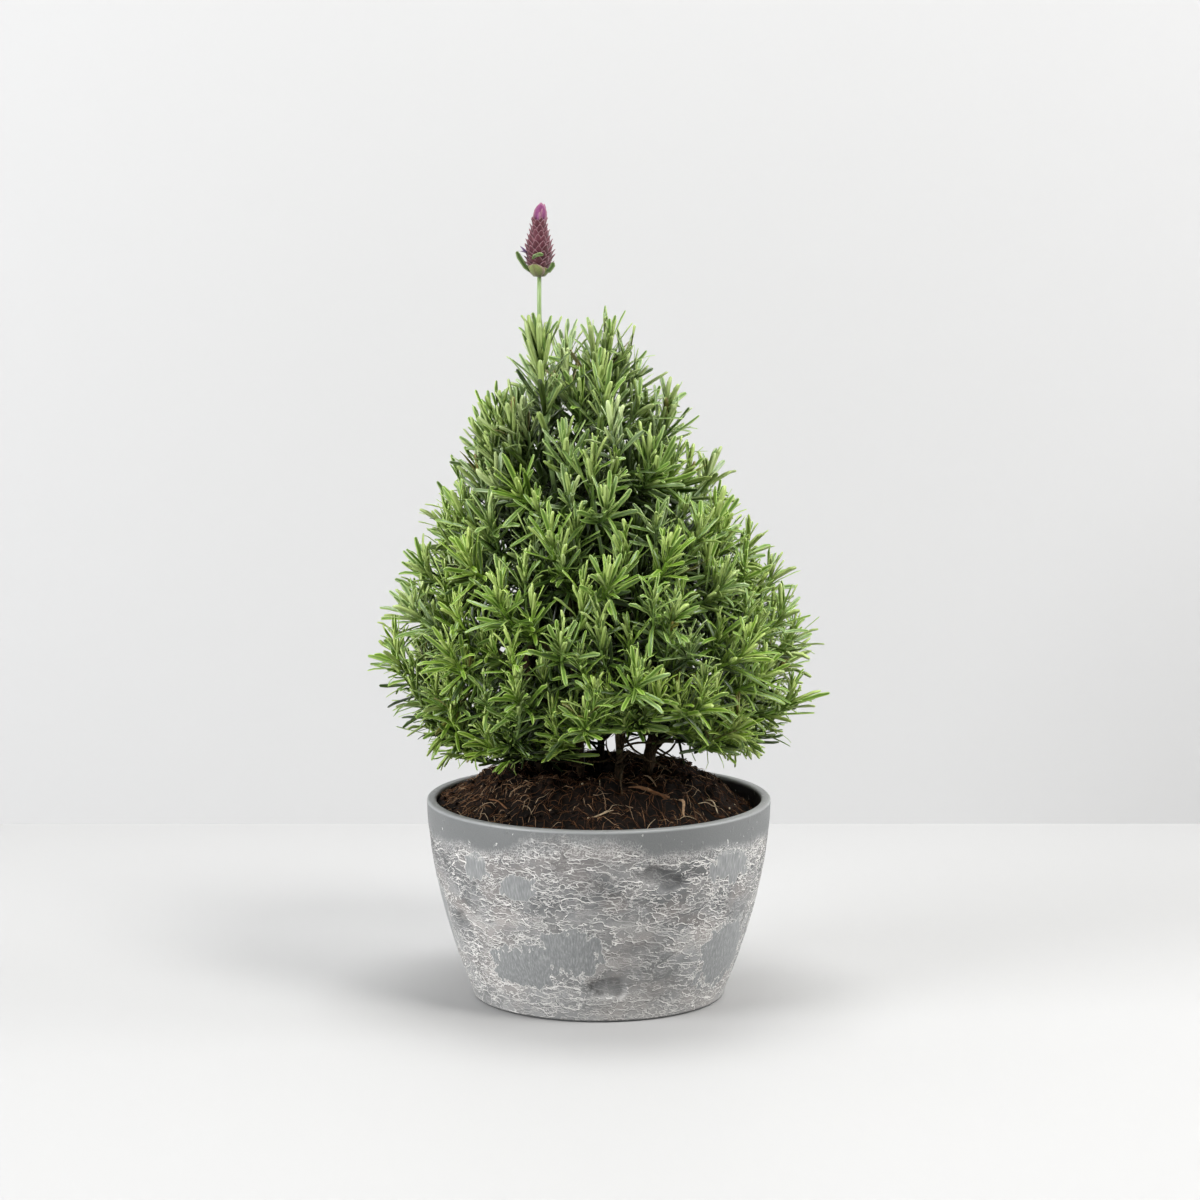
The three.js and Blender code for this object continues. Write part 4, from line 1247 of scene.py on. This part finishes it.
def grow_leaf(leaves, draw, path, distance, turn, length, lean, tone, share, shade_and_withering, hangs=False):
    """One leaf that leaves the stem at a lean, and bends away and droops as it goes."""
    heading = path.heading(distance)
    first, second = across_from(heading)
    outward = first * math.cos(turn) + second * math.sin(turn)
    start = unit(heading * math.cos(lean) + outward * math.sin(lean))
    further = lean + draw.gauss(mix(0.2, 0.14, share), mix(0.5, 0.32, share))
    if draw.random() < mix(0.16, 0.05, share):
        further += draw.uniform(0.5, 1.4)
    droop = mix(0.45, 0.03, min(1, 1.5 * share)) * draw.uniform(0, 2) * min(1, length / 20)
    sideways = np.cross(heading, outward) * draw.gauss(0, mix(0.3, 0.12, share))
    end = unit(heading * math.cos(further) + outward * math.sin(further) + sideways - UP * droop)
    root = path.at(distance) + outward * 0.5
    bend = root + start * length * 0.5
    tip = bend + end * length * 0.5
    if not hangs:
        bend, tip = turned_up(draw, root, bend, tip)
    away = math.hypot(tip[0], tip[1])
    if away < RIM_RADIUS + 6 and tip[2] < max(soil_height(tip[0], tip[1]) + 3, POT_HEIGHT + 2):
        return
    width = mix(LOW_WIDTH, HIGH_WIDTH, share) * min(1, 0.5 + length / 46) * draw.uniform(0.82, 1.15)
    leaves.add(root, bend, tip, heading, width, tone, shade_and_withering, draw.gauss(0, 0.7))


def upturned(path, share):
    """A shoot whose leafy end goes on a little and turns up towards the light."""
    end, heading = path.points[-1], path.heading(path.length)
    reach = mix(17, 3, min(1, share * 1.3))
    further = [end + heading * reach * t * (1 - 0.55 * t) + UP * reach * 0.8 * t**2
               for t in (0.25, 0.5, 0.75, 1.0)]
    return Path([*path.points, *further])


def dress_shoot(leaves, small, draw, path, shoot, look, solid_whorls=(), vigour=1.0):
    """Opposite leaves and their tufts down a shoot, from the young bundle at its end."""
    share, shade, hangs = shoot["share"], shoot["shade"], shoot["hangs"]
    distance = path.length
    leafy = 0.62 if hangs else 1 - 0.4 * shade
    lowest = max(0.16 * path.length, path.length - LEAFY_REACH * leafy)
    turn = draw.uniform(0, math.pi)
    while distance > lowest:
        grown = min(1.0, (path.length - distance) / YOUNG_REACH)
        depth = (path.length - distance) / LEAFY_REACH
        place = path.at(distance)
        if not hangs and place[2] < skirt_height(place[0], place[1]) - 3:
            return
        lean = mix(0.16, mix(0.9, 0.68, share), grown**0.8)
        length = mix(14, 25, grown**0.7) * vigour * mix(0.98, 1.45, share**1.6)
        taken = any(abs(distance - spot) < WHORL_ROOM for spot in solid_whorls)
        tone = look + draw.gauss(0.1 * (1 - grown), 0.09)
        # Painted shade, darker further down the shoot and on shaded shoots; withered pairs take the
        # browns from 0.76 up.
        shade_and_withering = min(0.7, shade + 0.85 * max(0, depth - 0.2))
        if draw.random() < WITHERED_SHARE:
            shade_and_withering = draw.uniform(0.76, 0.95)
        for side in (0, math.pi):
            if not taken or grown == 0:
                grow_leaf(leaves, draw, path, distance, turn + side + draw.gauss(0, 0.25),
                          length * draw.uniform(0.7, 1.25), lean * draw.uniform(0.5, 1.5),
                          tone, share, shade_and_withering, hangs)
            for spread in (-0.6, 0.6):
                if grown > 0.15 and draw.random() < mix(0.5, 0.2, share**2):
                    grow_leaf(small, draw, path, distance + 1, turn + side + spread,
                              length * draw.uniform(0.42, 0.7), lean * draw.uniform(0.4, 1.0),
                              tone + 0.08, share, shade_and_withering, hangs)
        turn += math.pi / 2 + draw.gauss(0, 0.15)
        distance -= mix(YOUNG_STEP, NODE_STEP * mix(1, 1.3, share**2), grown)


def green_stem(pile, path, start_radius, end_radius, look, darker_foot=0.35):
    # Painted shade: the stem is darker towards its foot, through the leaves' fourth mark.
    def marks(along):
        return np.stack([along * 0 + look, along * 0 + 0.2, along * 0, darker_foot * (1 - along)], -1)

    radii = [start_radius, end_radius * 1.15, end_radius]
    tube(pile, path, radii, sides=5, marks=marks, steps=8)


class Filling:
    """Shoots between those of the solids, each shared out to the branch that it grows from."""

    def __init__(self):
        self.lines = [(i, path) for i, branch in enumerate(BRANCHES) for _, path in branch]
        self.points = raised(np.concatenate([path.points for _, path in self.lines]))
        self.owners = np.concatenate([np.full(len(path.points), i) for i, path in self.lines])
        self.tips = [shoot["tip"] for branch in BRANCHES for shoot, _ in branch]
        self.found = {i: [] for i in range(len(BRANCHES))}

    def add(self, draw, shoot, length, shade):
        shift = stray(draw, 2.5)
        rise = mix(FILL_LOW_RISE, FILL_HIGH_RISE, shoot["share"]**0.7) + draw.gauss(0, 0.22)
        angle = shoot["angle"] + draw.gauss(0, 0.35)
        tip = shoot["tip"] + shift
        foot_height = tip[2] - LEAF_REACH * math.sin(rise)
        tip[2] += max(0, skirt_height(tip[0], tip[1]) + draw.uniform(-4, 14) - foot_height)
        shoot = {**shoot, "tip": tip, "shade": shade, "rise": rise, "angle": angle}
        room = SHOOT_ROOM * mix(1, 2.3, shoot["share"] ** 2.5)
        if min(np.linalg.norm(shoot["tip"] - tip) for tip in self.tips) >= room:
            self.plant(shoot, length)

    def plant(self, shoot, length):
        self.tips.append(shoot["tip"])
        wanted = shoot["tip"] - pointing(shoot["angle"], shoot["rise"] - TURN_UP) * length
        nearest = int(np.argmin(np.linalg.norm(self.points - wanted, axis=1)))
        origin = self.points[nearest]
        self.found[int(self.owners[nearest])].append((shoot, stem_path(origin, shoot)))


# Bundles that stand out of the even outline: tip, and the turn and rise of their shoots in degrees
ACCENTS = [
    ((-74, -22, 404), 185, 82), ((-67, -30, 410), 200, 85), ((-58, -34, 405), 220, 84),
    ((-80, -12, 392), 180, 76), ((-72, -36, 388), 215, 78), ((-62, -10, 400), 170, 82),
    ((-85, -24, 372), 190, 70), ((-54, -26, 412), 200, 86), ((-4, -12, 450), 250, 84),
    ((9, -2, 453), 20, 82), ((20, -8, 444), 330, 78), ((30, 2, 430), 10, 70),
    ((-24, -14, 436), 170, 82), ((52, -10, 412), 350, 66), ((-40, -10, 430), 170, 80),
]
# Sprays that hang below the even edge
HANGING = [
    ((-124, -30, 184), 192, -35), ((-118, -58, 172), 212, -32), ((122, -26, 180), 348, -32),
    ((114, -60, 170), 330, -30), ((-112, -34, 158), 200, -38), ((-96, -52, 163), 215, -30),
    ((-70, -72, 166), 235, -12), ((112, -36, 166), 345, -25), ((98, -56, 170), 330, -14),
]


def fill_crown():
    draw = random.Random(21)
    filling = Filling()
    for tip, turn, rise in ACCENTS + HANGING:
        filling.plant({
            "tip": np.array(tip, float), "angle": math.radians(turn), "rise": math.radians(rise),
            "share": (tip[2] - CROWN_BOTTOM) / CROWN_HEIGHT, "shade": 0.0, "hangs": rise < 0,
        }, PLACED_LENGTH)
    for i in range(FILL_SHOOTS):
        shoot = shoot_tip(i, FILL_SHOOTS, FILL_ANGLE, draw.uniform(0.8, 0.97))
        filling.add(draw, shoot, draw.uniform(*FILL_LENGTHS), 0.0)
    for i in range(INNER_SHOOTS):
        shoot = shoot_tip(i, INNER_SHOOTS, INNER_ANGLE, draw.uniform(0.15, 0.8))
        if shoot["share"] > INNER_TOP:
            continue
        lowest = skirt_height(*shoot["tip"][:2]) + 10
        shoot["tip"][2] = max(shoot["tip"][2] - draw.uniform(0, 18), lowest)
        filling.add(draw, shoot, draw.uniform(*INNER_LENGTHS), INNER_SHADE)
    return filling.found


def solid_bend(root, middle, tip):
    """The bend of the curve that passes a solid blade's widest place, 0.55 of the way along."""
    return (middle - 0.2025 * root - 0.3025 * tip) / 0.495


def shoot_look(draw, shoot, spread):
    """Greyer at the crown's top, yellower at its foot."""
    return 0.58 - 0.5 * shoot["share"] + draw.gauss(0, spread)


def add_solid_leaves(fine, draw, node, branch, looks):
    """The leaves that the branch's solid has, a little disturbed."""
    for root, middle, tip, upper in solid_leaves(node):
        gaps = [np.linalg.norm(path.points - root, axis=1) for _, path in branch]
        nearest = int(np.argmin([np.min(gap) for gap in gaps]))
        shoot, path = branch[nearest]
        if np.dot(upper, path.heading(path.along[np.argmin(gaps[nearest])])) < 0:
            upper = -upper
        shift = raised(root) - root
        astray = stray(draw, mix(3.2, 1.5, shoot["share"]))
        root, middle, tip = root + shift, middle + shift + 0.4 * astray, tip + shift + astray
        tone = looks[nearest] + draw.gauss(0, 0.08)
        width = mix(LOW_WIDTH, HIGH_WIDTH, shoot["share"]) * 1.08
        bend, tip = turned_up(draw, root, solid_bend(root, middle, tip), tip)
        fine.add(root, bend, tip, upper, width, tone, 0.0, draw.gauss(0, 0.3))


def make_leafy_branches():
    draw = random.Random(12)
    filling = fill_crown()
    for i, branch in enumerate(BRANCHES):
        node = f"leafy_branch_{i + 1:02d}"
        pile = Pile()
        fine, small, shaded = Leaves(FINE_BLADE), Leaves(SMALL_BLADE), Leaves(SHADED_BLADE)
        looks = []
        branch = [(shoot, upturned(Path(raised(path.points)), shoot["share"]))
                  for shoot, path in branch]
        for k, (shoot, path) in enumerate(branch):
            look = shoot_look(draw, shoot, 0.12)
            looks.append(look)
            solid_end = path.along[PATH_STEPS - 1]
            whorls = [solid_end - SOLID_WHORL_STEP * n for n in range(3 - k)]
            green_stem(pile, path, 1.5, 1.05, look)
            dress_shoot(fine, small, draw, path, shoot, look, whorls)
        for shoot, path in filling[i]:
            if not shoot["hangs"]:
                path = upturned(Path(raised(path.points)), shoot["share"])
            look = shoot_look(draw, shoot, 0.14)
            green_stem(pile, path, 1.1, 0.85, look)
            if shoot["shade"] > 0:
                dress_shoot(shaded, shaded, draw, path, shoot, look)
            else:
                dress_shoot(fine, small, draw, path, shoot, look, vigour=0.95)
        add_solid_leaves(fine, draw, node, branch, looks)
        for leaves in (fine, small, shaded):
            leaves.pour_into(pile)
        pile.piece(node.capitalize(), LEAF, "leaf", [node])


# The young leaves that stand round the foot of the bare stalk: turn, height, length and lean
TOP_LEAVES = [
    (20, 436, 27, 0.12), (100, 437, 25, 0.3), (80, 436, 27, 0.2), (120, 434, 28, 0.34),
    (170, 436, 26, 0.12), (60, 432, 27, 0.36), (250, 434, 27, 0.3), (280, 428, 34, 0.5),
    (320, 434, 27, 0.42), (210, 430, 27, 0.2), (95, 428, 26, 0.5),
]

# Leaflets under the spike, from its foot: root, bend, tip, width and tone
CURLED_LEAFLETS = [
    ((-6, -4, 2), (-11, -6, 6), (-14.5, -6, 15), 3.4, 0.05),
    ((-4, -9, 10), (-3, -12.5, 14.5), (3, -12, 13), 2.8, 0.05),
    ((4, -5, 2), (9, -6, 2), (9, -6, 8), 3.6, 0.05),
]


def make_flowering_stem():
    draw = random.Random(3)
    pile, fine, small = Pile(), Leaves(FINE_BLADE), Leaves(SMALL_BLADE)
    top = FLOWER.length - (FLOWER_PATH[-1][2] - FLOWER_LEAF_END)
    green_stem(pile, FLOWER, 1.7, 1.45, look=0.12, darker_foot=0.1)
    leafy = Path(FLOWER.at(np.linspace(0, top, 50)))
    whorls = [top - SOLID_WHORL_STEP * n for n in range(7)]
    shoot = {"share": 1.0, "shade": 0.14, "hangs": False}
    dress_shoot(fine, small, draw, leafy, shoot, FLOWER_LOOK, whorls)
    for root, middle, tip, upper in solid_leaves("flowering_stem"):
        if root[2] > FLOWER_LEAF_END + 20:
            continue
        if np.dot(upper, UP) < 0:
            upper = -upper
        fine.add(root, solid_bend(root, middle, tip), tip, upper, BLADE_WIDTH * 1.08,
                 FLOWER_LOOK + draw.gauss(0, 0.06), 0.16)
    for k, (turn, height, length, lean) in enumerate(TOP_LEAVES):
        grow_leaf(fine, draw, FLOWER, FLOWER.length - (FLOWER_PATH[-1][2] - height),
                  math.radians(turn), length, lean, FLOWER_LOOK + 0.1 * (k % 2), 1.0, 0.1)
    head = np.array(FLOWER_PATH[-1], float)
    for root, bend, tip, width, tone in CURLED_LEAFLETS:
        fine.add(head + root, head + bend, head + tip, np.array([0.2, -1.0, 0.3]), width, tone, 0.3)
    fine.pour_into(pile)
    small.pour_into(pile)
    pile.piece("Flowering_stem", LEAF, "leaf", ["flowering_stem"])


# Flower head

# Heights up the spike and how far the scales' tips reach there
SPIKE_PROFILE = [(0, 6.4), (5, 8.6), (12, 9.7), (18, 9.0), (24, 7.4), (30, 5.8), (36, 4.8)]
SCALE_LIFT = 2.1
TIER_STEP = 3.4


def spike_reach(height):
    heights, reaches = zip(*SPIKE_PROFILE)
    return float(np.interp(height, heights, reaches))


def scale(pile, foot, out, rise, length, width, tone, cup, thickness=0.5, flare=0.0, widest=0.4):
    """A pointed, cupped scale that grows from foot along rise, and whose tip flares out."""
    rows, columns = 7, 7
    across = unit(np.cross(rise, out))
    outside, inside, marks = [], [], []
    for i in range(rows):
        along = i / (rows - 1)
        if along < widest:
            half = width / 2 * mix(0.45, 1, math.sin(math.pi / 2 * along / widest))
        else:
            narrowing = math.cos(math.pi / 2 * (along - widest) / (1 - widest))
            half = width / 2 * max(0.05, narrowing) ** 0.8
        for j in range(columns):
            s = j / (columns - 1) * 2 - 1
            lean = cup * length * math.sin(math.pi * 0.5 * along) + flare * length * along**3
            point = foot + rise * length * along + across * half * s
            point = point + out * (lean - 0.42 * half * s * s)
            outside.append(point + out * thickness / 2)
            inside.append(point - out * thickness / 2)
            marks.append((tone, max(abs(s), along**4), 0.1 + 0.9 * along, abs(s) < 0.2))
    count = rows * columns
    face = grid_faces(rows, columns, wraps=False)
    border = [
        *range(columns),
        *range(2 * columns - 1, count, columns),
        *range(count - 2, count - columns - 1, -1),
        *range(count - 2 * columns, 0, -columns),
    ]
    rim = np.array([(a, a + count, b + count, b) for a, b in zip(border, border[1:] + border[:1])])
    pile.add(outside + inside, [face, face[:, ::-1] + count, rim], marks + marks)


def add_floret(pile, place, draw):
    """A small violet flower that opens at the side of the spike."""
    for k in range(5):
        out = unit(pointing(math.pi + (k - 2) * 0.55, 0.3 * (k % 2)))
        scale(pile, place - UP * 2, out, unit(out + UP * draw.uniform(0.2, 1.2)), length=4.6,
              width=3.4, tone=1.0, cup=0.1, thickness=0.35, flare=0.2)


def make_spike():
    """Tiers of overlapping scales in a slanting lattice, over a dark core."""
    draw = random.Random(6)
    pile = Pile()
    core = Path([SPIKE_FOOT + UP * height for height in (0.5, 16, SPIKE_HEIGHT)])
    tube(pile, core, [4.0, 5.6, 2.2], sides=12, marks=(0.4, 0.2, 0.1, 0), steps=12)
    height, tier = 0.6, 0
    while height < SPIKE_HEIGHT - 4:
        share = height / SPIKE_HEIGHT
        reach = spike_reach(height) - SCALE_LIFT
        narrower = (spike_reach(height) - spike_reach(height + 7)) / 7
        count = 10 if height < 16 else 9 if height < 24 else 7
        for k in range(count):
            angle = (k + (tier % 2) / 2) / count * 2 * math.pi + draw.gauss(0, 0.05)
            out = pointing(angle, 0)
            scale(pile, SPIKE_FOOT + out * reach + UP * height, out, unit(UP - narrower * out),
                  length=draw.uniform(7.2, 8.6), width=mix(6.6, 5.0, share),
                  tone=draw.gauss(mix(0.44, 0.58, share), 0.04), cup=0.1, thickness=0.45,
                  flare=0.26, widest=0.34)
        height += TIER_STEP
        tier += 1
    add_floret(pile, SPIKE_FOOT + np.array([-8.6, -2.5, 15.5]), draw)
    pile.piece("Flower_spike", BRACT, "flower_spike", ["flower_spike"])


def make_cup():
    """The green bracts that hold the spike, the largest in front."""
    draw = random.Random(8)
    pile = Pile()
    for k in range(7):
        out = pointing(k / 7 * 2 * math.pi + 0.3, 0)
        scale(pile, SPIKE_FOOT + out * 2.0 + UP * 0.2, out, unit(UP * 0.7 + 0.7 * out),
              length=draw.uniform(6.0, 7.5), width=6.5, tone=draw.uniform(0.0, 0.12), cup=0.1,
              flare=-0.2, widest=0.5)
    for turn, length, width in ((-112, 11, 12), (-155, 10, 9), (-60, 8, 8), (-20, 7, 7)):
        out = pointing(math.radians(turn), 0)
        scale(pile, SPIKE_FOOT + out * 3.6 - UP * 2, out, unit(UP + 0.75 * out), length, width,
              tone=draw.uniform(0.06, 0.16), cup=0.12, thickness=0.6, flare=-0.3, widest=0.6)
    pile.piece("Flower_cup", BRACT, "leaf")


def make_tuft():
    """The upright petals above the scales."""
    draw = random.Random(5)
    pile = Pile()
    base = SPIKE_FOOT + UP * (SPIKE_HEIGHT - 1.5)
    for k in range(5):
        out = pointing(k / 5 * 2 * math.pi - math.pi / 2, 0)
        scale(pile, base + out * 1.8, out, unit(UP + TUFT_LEAN + 0.16 * out),
              length=TUFT_HEIGHT + 1.5 - 0.8 * k, width=8.6, tone=draw.gauss(0.84, 0.05), cup=0.08,
              thickness=0.45, flare=-0.2, widest=0.55)
    for k in range(5):
        out = pointing(k / 5 * 2 * math.pi, 0)
        scale(pile, base + out * 3.0 - UP, out, unit(UP + 0.1 * out), length=7, width=4.2,
              tone=0.5, cup=0.1, thickness=0.4, flare=0.16)
    pile.piece("Flower_tuft", BRACT, "flower_tuft", ["flower_tuft"])


# Setting

def make_board(name, corners, shade):
    mesh = bpy.data.meshes.new(name)
    mesh.from_pydata(corners, [], [(0, 1, 2, 3)])
    mesh.materials.append(board_material("Pale_" + name.lower(), shade))
    made = bpy.data.objects.new(name, mesh)
    bpy.context.scene.collection.objects.link(made)


def make_setting():
    """A floor, and a wall behind the plant."""
    side, far, back, top = ROOM_HALF_WIDTH, ROOM_HALF_DEPTH, WALL_PLACE, ROOM_HEIGHT
    floor = [(-side, -far, 0), (side, -far, 0), (side, far, 0), (-side, far, 0)]
    wall = [(-side, back, 0), (side, back, 0), (side, back, top), (-side, back, top)]
    make_board("Floor", floor, FLOOR_SHADE)
    make_board("Wall", wall, WALL_SHADE)


def make_world():
    """A pale room: brightest to the left and above, dimmest behind the camera."""
    world = bpy.data.worlds.new("Studio")
    bpy.context.scene.world = world
    world.use_nodes = True
    w = Wiring(world.node_tree)
    parts = w.node("SeparateXYZ", {"Vector": w.node("TexCoord").outputs["Generated"]})
    glow = 0.5
    for axis, share in (("X", -0.25), ("Y", 0.3), ("Z", 0.25)):
        glow = w.sum("MULTIPLY_ADD", parts.outputs[axis], share, glow)
    background = world.node_tree.nodes["Background"]
    w.feed(background.inputs["Color"],
           w.ramp(glow, (0.1, (0.4, 0.41, 0.42)), (0.5, (0.8, 0.815, 0.83)), (0.9, 1)))
    background.inputs["Strength"].default_value = 0.1


def make_light(name, place, target, size, power, shade):
    light = bpy.data.lights.new(name, "AREA")
    light.shape = "DISK"
    light.size = size
    light.energy = power
    light.color = shade
    lamp = bpy.data.objects.new(name, light)
    lamp.location = place
    lamp.rotation_mode = "QUATERNION"
    aim = np.array(target) - np.array(place)
    lamp.rotation_quaternion = Vector(aim).to_track_quat("-Z", "Y")
    bpy.context.scene.collection.objects.link(lamp)


def make_camera():
    camera = bpy.data.cameras.new("Camera")
    camera.sensor_width = 36
    camera.lens = CAMERA_LENS
    made = bpy.data.objects.new("Camera", camera)
    made.location = CAMERA_PLACE
    made.rotation_euler = (math.radians(90 - CAMERA_TILT), 0, 0)
    bpy.context.scene.collection.objects.link(made)
    bpy.context.scene.camera = made
    bpy.context.scene.view_settings.view_transform = "Standard"


make_camera()
make_world()
make_setting()
for light in LIGHTS:
    make_light(*light)
make_pot()
make_soil()
make_fibres()
make_crumbs()
make_straws()
make_woody_stems()
make_leafy_branches()
make_flowering_stem()
make_spike()
make_cup()
make_tuft()
